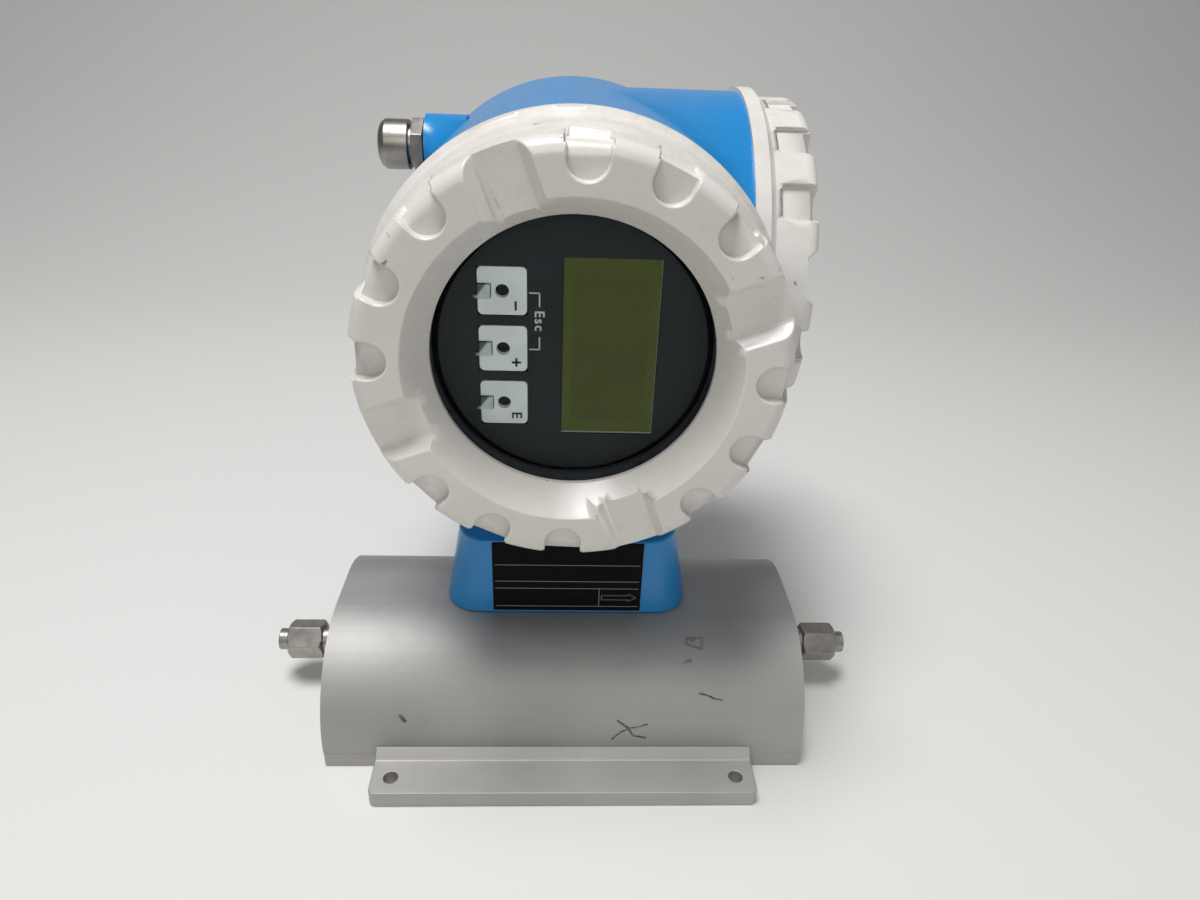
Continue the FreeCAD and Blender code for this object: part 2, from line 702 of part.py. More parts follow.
def sensor_inside():
    measuring_tube()
    tube_carrier()
    oscillator("drive", ("0", "loop_depth", "flow_axis_height"), 0)
    oscillator("inlet_pickup", ("-loop_half_width", "pickup_place", "flow_axis_height"), 90)
    oscillator("outlet_pickup", ("loop_half_width", "pickup_place", "flow_axis_height"), -90)
    start = "-probe_place - probe_length / 2"
    width = "tube_diameter + 2"
    probe = block("probe_form", ("probe_length", width, "tube_diameter + probe_height"),
                  (start, "-tube_diameter / 2 - 1", "flow_axis_height - tube_diameter / 2 - 1"))
    hole = rod("probe_hole", "tube_diameter / 2 + fit_gap", "probe_length",
               (start, "0", "flow_axis_height"), TO_RIGHT)
    node(cut("temperature_probe", probe, hole), "temperature_probe")
    top = "sensor_height"
    node(turned("wire_feedthrough", [
        ("0", top + " - feedthrough_depth"), ("feedthrough_radius", top + " - feedthrough_depth"),
        ("feedthrough_radius", top), ("feedthrough_flange", top),
        ("feedthrough_flange", top + " + feedthrough_flange_height"),
        ("feedthrough_radius", top + " + feedthrough_flange_height"),
        ("feedthrough_radius", top + " + feedthrough_rise"), ("0", top + " + feedthrough_rise")]),
        "wire_feedthrough")


def pedestal():
    """A cast foot: tapered block, cone to the round collar, and the spigot the housing turns on."""
    body = doc.addObject("PartDesign::Body", "pedestal_block")
    low = blank_sketch(body, "XY_Plane", "pedestal_foot")
    draw_rounded(low, "pedestal_width", "pedestal_depth", "pedestal_corner")
    low.setExpression("AttachmentOffset.Base.z", cells("sensor_height"))
    high = blank_sketch(body, "XY_Plane", "pedestal_shoulder_outline")
    draw_rounded(high, "pedestal_top_width", "pedestal_depth", "pedestal_corner")
    high.setExpression("AttachmentOffset.Base.z", cells("pedestal_shoulder"))
    loft = body.newObject("PartDesign::AdditiveLoft", "pedestal_taper")
    loft.Profile = low
    loft.Sections = [high]
    loft.Ruled = True
    inside = blank_sketch(body, "XY_Plane", "pedestal_hollow_outline")
    draw_rounded(inside, "pedestal_top_width - 2 * pedestal_wall", "pedestal_depth - 2 * pedestal_wall",
                 "pedestal_corner - pedestal_wall")
    inside.setExpression("AttachmentOffset.Base.z", cells("sensor_height"))
    pocketed("pedestal_hollow", inside, "pedestal_shoulder - sensor_height - pedestal_wall", True)
    place(body)
    step = "swivel_seal_place"
    groove = "swivel_radius - swivel_seal_depth"
    head = turned("pedestal_head", [
        ("wire_bore", "pedestal_shoulder - pedestal_wall"),
        ("pedestal_depth / 2 - 1", "pedestal_shoulder - pedestal_wall"),
        ("pedestal_depth / 2 - 1", "pedestal_shoulder"),
        ("neck_radius", "collar_bottom"), ("neck_radius", "swivel_height"),
        ("swivel_radius", "swivel_height"), ("swivel_radius", step), (groove, step),
        (groove, step + " + swivel_seal_height"), ("swivel_radius", step + " + swivel_seal_height"),
        ("swivel_radius", "spigot_top"), ("wire_bore", "spigot_top")])
    passage = rod("pedestal_passage", "wire_bore", "pedestal_wall",
                  ("0", "0", "pedestal_shoulder - pedestal_wall"))
    node(joined("pedestal", cut("pedestal_base", body, passage), head), "pedestal")
    node(ring("swivel_seal", groove, "swivel_radius", step, step + " + swivel_seal_height"), "swivel_seal")
    plate = block("nameplate", ("plate_width", "plate_thickness", "plate_height"),
                  ("-plate_width / 2", "-pedestal_depth / 2 - plate_thickness", "sensor_height + plate_margin"))
    node(plate, "nameplate")


def transmitter_housing():
    """One casting: a long barrel towards the front, a barrel to the right, two cable bosses and the neck."""
    axis = "axis_height"
    front = turned("front_barrel_form", [
        ("0", "-front_barrel_end"), ("front_barrel - barrel_bevel", "-front_barrel_end"),
        ("front_barrel", "barrel_bevel - front_barrel_end"), ("front_barrel", "housing_front"),
        ("0", "housing_front")], ("0", "0", axis), TO_FRONT.multiply(EIGHTH_TURN))
    cross = turned("cross_barrel_form", [
        ("0", "-cross_left"), ("cross_barrel - barrel_bevel", "-cross_left"),
        ("cross_barrel", "barrel_bevel - cross_left"), ("cross_barrel", "cross_right"), ("0", "cross_right")],
        ("0", "cross_axis", axis), TO_RIGHT.multiply(EIGHTH_TURN))
    neck_low = "swivel_height + swivel_gap"
    neck = rod("housing_neck", "neck_radius", "neck_top - swivel_height - swivel_gap", ("0", "0", neck_low))
    bosses, entries, seats = [], [], []
    for name, sign in (("upper", "+"), ("lower", "-")):
        at = ("-boss_root", "cross_axis", "axis_height %s gland_spread" % sign)
        bosses.append(rod(name + "_boss", "boss_radius", "boss_end - boss_root", at, TO_LEFT))
        entries.append(rod(name + "_entry", "entry_radius", "boss_end - boss_root", at, TO_LEFT))
        seats.append(rod(name + "_spot_face", "boss_radius", "front_barrel - boss_end",
                         ("-boss_end",) + at[1:], TO_LEFT))
    form = joined("housing_form", front, cross, neck, *bosses)
    recess = rod("front_recess", "front_bore", "front_bore_depth",
                 ("0", "front_bore_depth - housing_front", axis), TO_FRONT)
    pocket_right = "terminal_floor - divider_wall"
    pocket_front = "front_bore_depth - housing_front"
    pocket = block("board_pocket",
                   ("pocket_left + " + pocket_right, "divider_place - divider_wall - (%s)" % pocket_front,
                    "pocket_height"),
                   ("-pocket_left", pocket_front, "axis_height - pocket_height / 2"))
    terminals = rod("terminal_hollow", "terminal_bore", "cross_right - terminal_floor",
                    ("terminal_floor", "cross_axis", axis), TO_RIGHT)
    rear_end = "front_barrel_end - cross_wall"
    rear_round = rod("rear_hollow_round", "front_barrel - cross_wall", rear_end + " - divider_place",
                     ("0", rear_end, axis), TO_FRONT)
    rear_limit = block("rear_hollow_limit",
                       ("front_barrel + terminal_floor", rear_end + " - divider_place", "2 * front_barrel"),
                       ("-front_barrel", "divider_place", "axis_height - front_barrel"))
    rear = shared("rear_hollow", rear_round, rear_limit)
    socket = rod("swivel_socket", "swivel_radius + thread_gap", "spigot_top - swivel_height", ("0", "0", neck_low))
    wires = rod("housing_wire_bore", "wire_bore", "axis_height - swivel_height", ("0", "0", neck_low))
    holes = []
    for name, turn in (("right", TO_RIGHT), ("left", TO_LEFT)):
        holes.append(rod(name + "_lock_hole", "lock_screw_radius + fit_gap", "neck_radius + 1",
                         ("0", "0", "lock_screw_height"), turn))
    ledge = "axis_height - cover_flange - cover_clearance"
    front_flat = block("front_flat", ("2 * front_barrel", "neck_radius", "2 * cover_flange"),
                       ("-front_barrel", "-housing_front - neck_radius", ledge))
    side_flat = block("side_flat", ("front_barrel", "2 * cross_barrel + housing_front", "2 * cross_barrel"),
                      ("cross_right", "barrel_flange - housing_front", "axis_height - cross_barrel"))
    node(cut("transmitter_housing", form, recess, pocket, terminals, rear, socket, wires, front_flat, side_flat,
             *entries, *seats, *holes), "transmitter_housing")
    screws = []
    start = "swivel_radius + thread_gap"
    for name, sign, turn in (("right", "", TO_RIGHT), ("left", "-1 * ", TO_LEFT)):
        screws.append(rod(name + "_lock_screw", "lock_screw_radius", "neck_radius - swivel_radius - thread_gap",
                          ("%s(%s)" % (sign, start), "0", "lock_screw_height"), turn))
    node(group("swivel_lock_screws", screws), "swivel_lock_screws")


def scalloped_cover(label, outline, face, at, turn, angle):
    """A die-cast screw cover: notches across the rim face and thumb scoops between them."""
    aimed = turn.multiply(FreeCAD.Rotation(AXIS_Z, size(angle)))
    body = turned(label, outline, at, aimed)
    rim = size("cover_flange") - size("rim_step")
    top = size(face)

    def rim_edge(edge):
        box = edge.BoundBox
        return box.ZLength < 1e-6 and abs(box.ZMax - top) < 1e-3 and abs(box.XMax - rim) < 1e-3

    rounded_edges(label + "_rim", body, "rim_rounding", rim_edge)
    above = "rim_rounding"
    reach = "cover_flange + rim_rounding"
    channel = blank_sketch(body, "YZ_Plane", label + "_notch_section")
    floor = face + " - notch_depth"
    mouth = "notch_width / 2 + (notch_mouth - notch_width) / 2 * (notch_depth + %s) / notch_depth" % above
    draw_outline(channel, [("-notch_width / 2", floor), ("notch_width / 2", floor),
                           (mouth, face + " + " + above), ("-(%s)" % mouth, face + " + " + above)])
    channel.setExpression("AttachmentOffset.Base.z", cells("window_radius"))
    cuts = [pocketed(label + "_notch", channel, reach + " - window_radius", True)]
    places = int(size("scoops_between"))
    step = 360.0 / int(size("notch_count")) / (places + 1)
    for number in range(1, places + 1):
        spin = FreeCAD.Placement(FreeCAD.Vector(), FreeCAD.Rotation(AXIS_Z, number * step))
        scoop = blank_sketch(body, "XY_Plane", "%s_scoop_outline_%d" % (label, number))
        scoop.AttachmentOffset = spin
        scoop.setExpression("AttachmentOffset.Base.z", cells(face + " + " + above))
        draw_scoop(scoop, "cover_radius - scoop_length + scoop_radius", "scoop_radius", reach)
        cuts.append(pocketed("%s_scoop_%d" % (label, number), scoop, "scoop_depth + " + above))
        side = blank_sketch(body, "XY_Plane", "%s_recess_outline_%d" % (label, number))
        side.AttachmentOffset = spin
        side.setExpression("AttachmentOffset.Base.z", cells(face + " + " + above))
        inner = "cover_radius - recess_depth"
        draw_outline(side, [(inner, "-recess_width / 2"), (reach, "-recess_width / 2"),
                            (reach, "recess_width / 2"), (inner, "recess_width / 2")])
        cuts.append(pocketed("%s_recess_%d" % (label, number), side, "recess_length + " + above))
    pattern = body.newObject("PartDesign::PolarPattern", label + "_round")
    pattern.Originals = cuts
    pattern.Axis = (origin_feature(body, "Z_Axis"), [""])
    pattern.Angle = 360
    pattern.Occurrences = int(size("notch_count"))
    body.Tip = pattern

    def rim_face(edge):
        middle = edge.valueAt((edge.FirstParameter + edge.LastParameter) / 2)
        inside = math.hypot(middle.x, middle.y) < rim - size("rim_rounding") - 0.05
        return inside and lies_at(edge, top)

    def recess_floor(edge):
        straight = edge.Curve.TypeId == "Part::GeomLine"
        return straight and lies_at(edge, top - size("recess_length")) and edge.Length < size("recess_width") / 2

    def notch_floor(edge):
        straight = edge.Curve.TypeId == "Part::GeomLine"
        return straight and lies_at(edge, top - size("notch_depth")) and edge.Length > size("notch_width") / 2

    rounded_edges(label + "_face_edges", body, "cover_edge", rim_face)
    rounded_edges(label + "_recess_corners", body, "recess_corner", recess_floor)
    rounded_edges(label + "_notch_corners", body, "notch_corner", notch_floor)
    return node(body, label)


def cover_outside(bore, height, rim_start):
    """Outer half of a cover's section, from the skirt's end to the rim face."""
    skirt = bore + " - cover_gap"
    seal_out = "seal_inner + seal_width"
    return [
        (skirt + " - skirt_wall", "-skirt_length"), (skirt, "-skirt_length"), (skirt, "0"),
        ("seal_inner", "0"), ("seal_inner", "seal_height"), (seal_out, "seal_height"), (seal_out, "0"),
        ("cover_flange", "0"), ("cover_flange", "flange_height"),
        ("cover_flange - flange_step", "flange_height + 1"),
        ("cover_radius + neck_taper", rim_start), ("cover_radius", rim_start + " + neck_taper"),
        ("cover_radius", height)]


def covers():
    front_at = ("0", "-housing_front", "axis_height")
    face = "front_cover_height"
    seat = "glass_radius + cover_gap"
    glass_back = "glass_front - glass_thickness"
    window = [
        ("face_inner", face), ("window_radius", "glass_front + window_lip"), ("window_radius", "glass_front"),
        (seat, "glass_front"), (seat, glass_back + " - retainer_height"),
        ("cover_inner", glass_back + " - retainer_height - (cover_inner - glass_radius) / 3"),
        ("front_bore - cover_gap - skirt_wall", "0")]
    outside = cover_outside("front_bore", face, "front_rim_start")
    scalloped_cover("front_cover", outside + window, face, front_at, TO_FRONT, "front_cover_angle")
    node(turned("window_glass", [
        ("0", glass_back), ("glass_radius", glass_back), ("glass_radius", "glass_front - cover_gap"),
        ("0", "glass_front - cover_gap")], front_at, TO_FRONT), "window_glass")
    node(ring("glass_retainer", "retainer_inner", "glass_radius", glass_back + " - retainer_height", glass_back,
              front_at, TO_FRONT), "glass_retainer")
    node(ring("front_cover_seal", "seal_inner + cover_gap", "seal_inner + seal_width - cover_gap", "0",
              "seal_height - cover_gap", front_at, TO_FRONT), "front_cover_seal")
    side_at = ("cross_right", "cross_axis", "axis_height")
    face = "terminal_cover_height"
    disc = face + " - blind_recess"
    blind = [
        ("face_inner", face), ("face_inner - blind_recess", disc), ("0", disc), ("0", disc + " - blind_wall"),
        ("cover_inner - skirt_wall", disc + " - blind_wall"),
        ("terminal_bore - cover_gap - skirt_wall", "flange_height")]
    outside = cover_outside("terminal_bore", face, "terminal_rim_start")
    scalloped_cover("terminal_cover", outside + blind, face, side_at, TO_RIGHT, "terminal_cover_angle")
    node(ring("terminal_cover_seal", "seal_inner + cover_gap", "seal_inner + seal_width - cover_gap", "0",
              "seal_height - cover_gap", side_at, TO_RIGHT), "terminal_cover_seal")


def display():
    """Round display module: bezel with screen and key openings, board, body and its holder."""
    front = "-display_front"
    bezel_back = "bezel_thickness - display_front"
    at = ("0", bezel_back, "axis_height")
    disc = rod("bezel_disc", "bezel_radius", "bezel_thickness", at, TO_FRONT)
    through = "bezel_thickness"
    screen_low = ("screen_place - screen_width / 2", front, "axis_height - screen_height / 2")
    openings = [block("screen_opening", ("screen_width", through, "screen_height"), screen_low)]
    pads, prisms = [], []
    for name, level in (("upper", 1), ("middle", 0), ("lower", -1)):
        middle = "axis_height + %d * key_pitch" % level
        corner = ("-key_place - key_side / 2", front, middle + " - key_side / 2")
        openings.append(block(name + "_key_opening", ("key_side", through, "key_side"), corner))
        inner = "key_side - 2 * inlay_gap"
        plate = block(name + "_key_plate", (inner, through, inner),
                      ("-key_place - key_side / 2 + inlay_gap", front, middle + " - key_side / 2 + inlay_gap"))
        rounding = doc.addObject("Part::Fillet", name + "_key_rounded")
        rounding.Base = plate
        doc.recompute()
        lines = [index for index, edge in enumerate(plate.Shape.Edges, 1) if edge.BoundBox.YLength > size("key_corner")]
        rounding.Edges = [(index, size("key_corner"), size("key_corner")) for index in lines]
        hole = rod(name + "_key_hole", "key_hole / 2", through, ("-key_place", bezel_back, middle), TO_FRONT)
        slot_at = ("-key_place - key_side / 2", front, middle + " - key_slot_width / 2")
        slot = block(name + "_key_slot", ("key_slot_depth + inlay_gap", through, "key_slot_width"), slot_at)
        pads.append(cut(name + "_key_pad", rounding, hole, slot))
        prism = block(name + "_prism", ("key_slot_depth - inlay_gap", through + " + prism_rise",
                                        "key_slot_width - 2 * inlay_gap"),
                      ("-key_place - key_side / 2 + inlay_gap", front + " - prism_rise",
                       middle + " - key_slot_width / 2 + inlay_gap"))
        prisms.append(prism)
    node(cut("display_bezel", disc, *openings), "display_bezel")
    node(group("key_pads", pads), "key_pads")
    node(group("key_prisms", prisms), "key_prisms")
    screen = block("lcd_panel", ("screen_width - 2 * inlay_gap", "bezel_thickness - screen_recess",
                                 "screen_height - 2 * inlay_gap"),
                   ("screen_place - screen_width / 2 + inlay_gap", front + " + screen_recess",
                    "axis_height - screen_height / 2 + inlay_gap"))
    node(screen, "lcd_panel")
    board_back = "bezel_thickness + board_thickness - display_front"
    node(rod("display_board", "display_board_radius", "board_thickness", ("0", board_back, "axis_height"), TO_FRONT),
         "display_board")
    at = ("0", board_back, "axis_height")
    floor = "housing_front - front_bore_depth"
    spigot_end = "-(display_front - bezel_thickness - board_thickness) + (%s)" % floor
    lip = "display_body_depth"
    node(turned("display_body", [
        ("0", "-" + lip), ("0", "0"), ("display_board_radius + inlay_gap", "0"),
        ("display_board_radius + inlay_gap", "board_thickness"), ("bezel_radius", "board_thickness"),
        ("display_radius", "-3"), ("display_radius", "-" + lip), ("display_spigot - holder_gap", "-" + lip),
        ("display_spigot - holder_gap", spigot_end + " + holder_gap"),
        ("display_spigot - 4", spigot_end + " + holder_gap"), ("display_spigot - 4", "-" + lip)],
        at, TO_FRONT), "display_body")
    holder_at = ("0", "-(%s)" % floor, "axis_height")
    holder_top = "display_front - bezel_thickness - board_thickness - display_body_depth - (%s) - holder_gap" % floor
    node(ring("display_holder", "display_spigot", "holder_radius", "0", holder_top, holder_at, TO_FRONT),
         "display_holder")


def electronics():
    """Three boards on posts of a carrier that is screwed to the back of the board pocket."""
    back = "divider_place - divider_wall"
    middle = "(terminal_floor - divider_wall - pocket_left) / 2"
    plate = block("carrier_sheet", ("carrier_width", "carrier_plate", "carrier_height"),
                  (middle + " - carrier_width / 2", back + " - carrier_plate", "axis_height - carrier_height / 2"))
    spots = []
    for side in ("-", "+"):
        for level in ("-", "+"):
            spots.append((middle + " %s (board_width / 2 - post_inset)" % side,
                          "axis_height %s (board_height / 2 - post_inset)" % level))
    reach = "3 * board_pitch + 2 * board_thickness"
    posts = []
    for index, (across, up) in enumerate(spots):
        posts.append(rod("carrier_post_%d" % index, "post_radius", reach, (across, back + " - carrier_plate", up),
                         TO_FRONT))
    node(joined("board_carrier", plate, *posts), "board_carrier")
    spacers = []
    boards = (("power_board", 20, 30), ("amplifier_board", 30, 14), ("io_board", 14, 40))
    for number, (label, wide, tall) in enumerate(boards):
        face = back + " - carrier_plate - %d * board_pitch" % (number + 1)
        sheet_form = block(label + "_sheet", ("board_width", "board_thickness", "board_height"),
                           (middle + " - board_width / 2", face, "axis_height - board_height / 2"))
        chip = block(label + "_module", ("%d" % wide, "chip_height", "%d" % tall),
                     (middle + " - %d / 2" % wide, face + " - chip_height", "axis_height - %d / 2" % tall))
        holes = []
        for index, (across, up) in enumerate(spots):
            holes.append(rod("%s_hole_%d" % (label, index), "post_radius + fit_gap", "board_thickness",
                             (across, face + " + board_thickness", up), TO_FRONT))
            length = "board_pitch - board_thickness"
            outer = rod("%s_spacer_%d" % (label, index), "spacer_radius", length,
                        (across, face + " + board_pitch", up), TO_FRONT)
            inner = rod("%s_spacer_hole_%d" % (label, index), "post_radius + fit_gap", length,
                        (across, face + " + board_pitch", up), TO_FRONT)
            spacers.append(cut("%s_sleeve_%d" % (label, index), outer, inner))
        node(cut(label, joined(label + "_form", sheet_form, chip), *holes), label)
    node(group("board_spacers", spacers), "board_spacers")


def terminals():
    """Terminal block on the divider wall, with one screw and one wire slot for each terminal."""
    low = "axis_height - block_length / 2"
    form = block("terminal_form", ("block_depth", "block_width", "block_length"),
                 ("terminal_floor", "block_place", low))
    slots, screws = [], []
    count = int(size("terminal_count"))
    for index in range(count):
        level = "axis_height + %g * terminal_pitch" % (index - (count - 1) / 2)
        slots.append(block("wire_slot_%d" % index, ("wire_slot", "wire_slot_depth", "wire_slot"),
                           ("terminal_floor + block_depth / 2 - wire_slot / 2",
                            "block_place + block_width - wire_slot_depth", level + " - wire_slot / 2")))
        screws.append(rod("terminal_screw_%d" % index, "terminal_screw_radius", "terminal_screw_height",
                          ("terminal_floor + block_depth", "block_place + block_width / 3", level), TO_RIGHT))
    node(cut("terminal_block", form, *slots), "terminal_block")
    node(group("terminal_screws", screws), "terminal_screws")


def cable_gland(prefix, sign):
    """Nickel-plated gland: body with hexagon, rubber seal insert and domed cap."""
    at = ("-boss_end", "cross_axis", "axis_height %s gland_spread" % sign)
    hex_top = "gasket_thickness + gland_hex_height"
    neck_top = hex_top + " + gland_neck_length"
    screwed = turned(prefix + "_gland_tube", [
        ("gland_bore", "-entry_thread"), ("entry_radius - fit_gap", "-entry_thread"),
        ("entry_radius - fit_gap", hex_top), ("gland_neck_radius", hex_top),
        ("gland_neck_radius", neck_top), ("gland_bore", neck_top)], at, TO_LEFT)
    hex_at = ("-boss_end - gasket_thickness",) + at[1:]
    hex_form = hexagon(prefix + "_gland_hex", "gland_across_flats", "gland_hex_height", hex_at, TO_LEFT)
    hex_bore = rod(prefix + "_gland_hex_bore", "gland_bore", "gland_hex_height", hex_at, TO_LEFT)
    node(joined(prefix + "_gland_body", screwed, cut(prefix + "_gland_flats", hex_form, hex_bore)),
         prefix + "_gland_body")
    start = "gasket_thickness + cap_start"
    end = start + " + cap_length"
    seat = end + " - cap_wall"
    bored = "gland_neck_radius + thread_gap"
    node(turned(prefix + "_gland_cap", [
        (bored, start), ("cap_radius", start), ("cap_radius", end + " - cap_dome"),
        ("cap_radius - cap_dome / 2", end + " - cap_dome / 3"), ("cap_radius - cap_dome * 1.2", end),
        ("cap_mouth", end), ("cap_mouth", seat), (bored, seat)], at, TO_LEFT), prefix + "_gland_cap")
    head = "insert_head_height"
    node(turned(prefix + "_gland_insert", [
        ("insert_bore", hex_top), ("gland_bore - thread_gap", hex_top),
        ("gland_bore - thread_gap", seat + " - " + head), ("insert_head", seat + " - " + head),
        ("insert_head", seat + " - thread_gap"), ("insert_bore", seat + " - thread_gap")], at, TO_LEFT),
        prefix + "_gland_insert")
    return ring(prefix + "_gland_washer", "entry_radius + fit_gap", "gland_across_flats / 2", "0",
                "gasket_thickness", at, TO_LEFT)


def build():
    base = block("base_plate", ("sensor_length", "sensor_depth", "base_thickness"),
                 ("-sensor_length / 2", "-sensor_depth / 2", "0"))
    node(base, "base_plate")
    sensor_shell()
    end_plate("inlet_end_plate", -1)
    end_plate("outlet_end_plate", 1)
    mounting_bar("front_mounting_bar", UP)
    mounting_bar("rear_mounting_bar", FreeCAD.Rotation(AXIS_Z, 180))
    coupling("inlet", ("-sensor_length / 2", "0", "flow_axis_height"), TO_LEFT, "inlet_nut_angle")
    coupling("outlet", ("sensor_length / 2", "0", "flow_axis_height"), TO_RIGHT, "outlet_nut_angle")
    sensor_inside()
    pedestal()
    transmitter_housing()
    covers()
    display()
    electronics()
    terminals()
    washers = [cable_gland("upper", "+"), cable_gland("lower", "-")]
    node(group("gland_gaskets", washers), "gland_gaskets")


def write():
    doc.recompute()
    for item in doc.Objects:
        if "Invalid" in item.State or "Error" in item.State:
            raise RuntimeError("%s failed: %s" % (item.Label, item.State))
    for item in nodes:
        if item.Shape.isNull() or not item.Shape.isValid():
            raise RuntimeError("%s has no valid shape" % item.Label)
    os.makedirs("parts", exist_ok=True)
    for item in nodes:
        item.Shape.exportStep("parts/%s.step" % item.Label)


build()
write()
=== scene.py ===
"""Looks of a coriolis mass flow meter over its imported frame: finishes, printed marks, stage and camera."""
import json
import math

import bpy
from bpy.props import FloatProperty, FloatVectorProperty, PointerProperty
from mathutils import Matrix, Vector


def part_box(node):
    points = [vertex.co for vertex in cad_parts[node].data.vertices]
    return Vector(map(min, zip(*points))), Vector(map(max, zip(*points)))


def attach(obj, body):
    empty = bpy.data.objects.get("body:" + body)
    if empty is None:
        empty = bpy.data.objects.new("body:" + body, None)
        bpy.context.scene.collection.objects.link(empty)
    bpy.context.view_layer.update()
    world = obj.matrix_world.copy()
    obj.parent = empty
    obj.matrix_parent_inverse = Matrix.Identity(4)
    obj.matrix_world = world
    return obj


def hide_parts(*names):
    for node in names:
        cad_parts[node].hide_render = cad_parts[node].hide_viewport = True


bl_info = {
    "name": "Coriolis Flow Meter",
    "version": (1, 0, 0),
    "blender": (4, 5, 0),
    "location": "View3D > Sidebar > Flow Meter",
    "description": "Finishes, printed marks and stage for a coriolis mass flow meter",
    "category": "Object",
}

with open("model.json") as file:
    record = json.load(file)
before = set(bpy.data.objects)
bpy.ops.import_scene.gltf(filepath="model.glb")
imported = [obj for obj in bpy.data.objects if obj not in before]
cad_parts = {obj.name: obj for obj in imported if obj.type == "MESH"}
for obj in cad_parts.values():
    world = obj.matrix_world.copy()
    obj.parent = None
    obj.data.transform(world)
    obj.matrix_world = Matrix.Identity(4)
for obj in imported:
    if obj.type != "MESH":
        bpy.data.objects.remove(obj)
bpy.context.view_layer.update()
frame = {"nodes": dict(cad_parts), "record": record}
NODES = frame["nodes"]

# Both barrels' axes lie at one height, and the terminal cover's box is centred on the cross barrel
COVER_LOW, COVER_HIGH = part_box("terminal_cover")
AXIS_HEIGHT = (COVER_LOW.z + COVER_HIGH.z) / 2
CROSS_AXIS = (COVER_LOW.y + COVER_HIGH.y) / 2

# How far each cover's notches are turned about its axis, and half a notch's width
FRONT_TURN = math.radians(20.2)
SIDE_TURN = math.radians(13.0)
HALF_NOTCH = 0.0105

# Bands of a cover, out from its axis and in from its face: where a mark starts and where it is full; wear at
# the rim and the outer edge, darkening in the scallops
RIM_REACH, RIM_DEPTH = (0.056, 0.062), (0.010, 0.004)
SCOOP_REACH, SCOOP_DEPTH = (0.060, 0.064), (0.0025, 0.0058)
EDGE_REACH, EDGE_DEPTH = (0.0765, 0.0795), (0.0075, 0.0045)

# Three square keys stand in one column on the bezel
BEZEL_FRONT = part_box("display_bezel")[0].y
KEY_LOW, KEY_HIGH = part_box("key_pads")
KEY_FRONT = KEY_LOW.y
KEY_SIDE = KEY_HIGH.x - KEY_LOW.x
KEY_PITCH = (KEY_HIGH.z - KEY_LOW.z - KEY_SIDE) / 2
PRISM_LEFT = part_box("key_prisms")[0].x

# The camera of the photo: place, turns and focal length in pixels of the whole picture
CAMERA_PLACE = (-0.0044, -0.3416, 0.3257)
CAMERA_PITCH = math.radians(28.4)
CAMERA_YAW = math.radians(3.1)
CAMERA_ROLL = math.radians(2.4)
FOCAL_PIXELS = 830.0
PICTURE_PIXELS = 1200.0
SENSOR_WIDTH = 36.0

# Square lamps: name, place, aim, side in metres and power in watts
LAMPS = (
    ("key_light", (-0.10, -1.15, 0.85), (0.0, 0.0, 0.18), 0.6, 2.9),
    ("fill_light", (0.95, -0.80, 0.75), (0.0, 0.0, 0.14), 1.0, 0.6),
    ("top_light", (-0.22, -0.14, 1.50), (0.0, 0.0, 0.14), 0.5, 18.0),
)
WORLD_STRENGTH = 0.26


class Signal:
    """A shader socket that takes part in plain arithmetic."""

    def __init__(self, tree, socket):
        self.tree = tree
        self.socket = socket

    def math(self, operation, *values):
        node = self.tree.nodes.new("ShaderNodeMath")
        node.operation = operation
        for socket, value in zip(node.inputs, values):
            join(self.tree, socket, value)
        return Signal(self.tree, node.outputs[0])

    def __add__(self, other):
        return self.math("ADD", self, other)

    def __radd__(self, other):
        return self.math("ADD", other, self)

    def __sub__(self, other):
        return self.math("SUBTRACT", self, other)

    def __rsub__(self, other):
        return self.math("SUBTRACT", other, self)

    def __mul__(self, other):
        return self.math("MULTIPLY", self, other)

    def __truediv__(self, other):
        return self.math("DIVIDE", self, other)

    def __pow__(self, other):
        return self.math("POWER", self, other)

    def __abs__(self):
        return self.math("ABSOLUTE", self)

    def root(self):
        return self.math("SQRT", self)

    def sine(self):
        return self.math("SINE", self)

    def angle(self, across):
        return self.math("ARCTAN2", self, across)

    def remainder(self, step):
        return self.math("FLOORED_MODULO", self, step)

    def least(self, other):
        return self.math("MINIMUM", self, other)

    def most(self, other):
        return self.math("MAXIMUM", self, other)


def join(tree, socket, value):
    """Link a signal to a socket, or set a plain value on it."""
    if isinstance(value, Signal):
        tree.links.new(value.socket, socket)
    else:
        socket.default_value = value


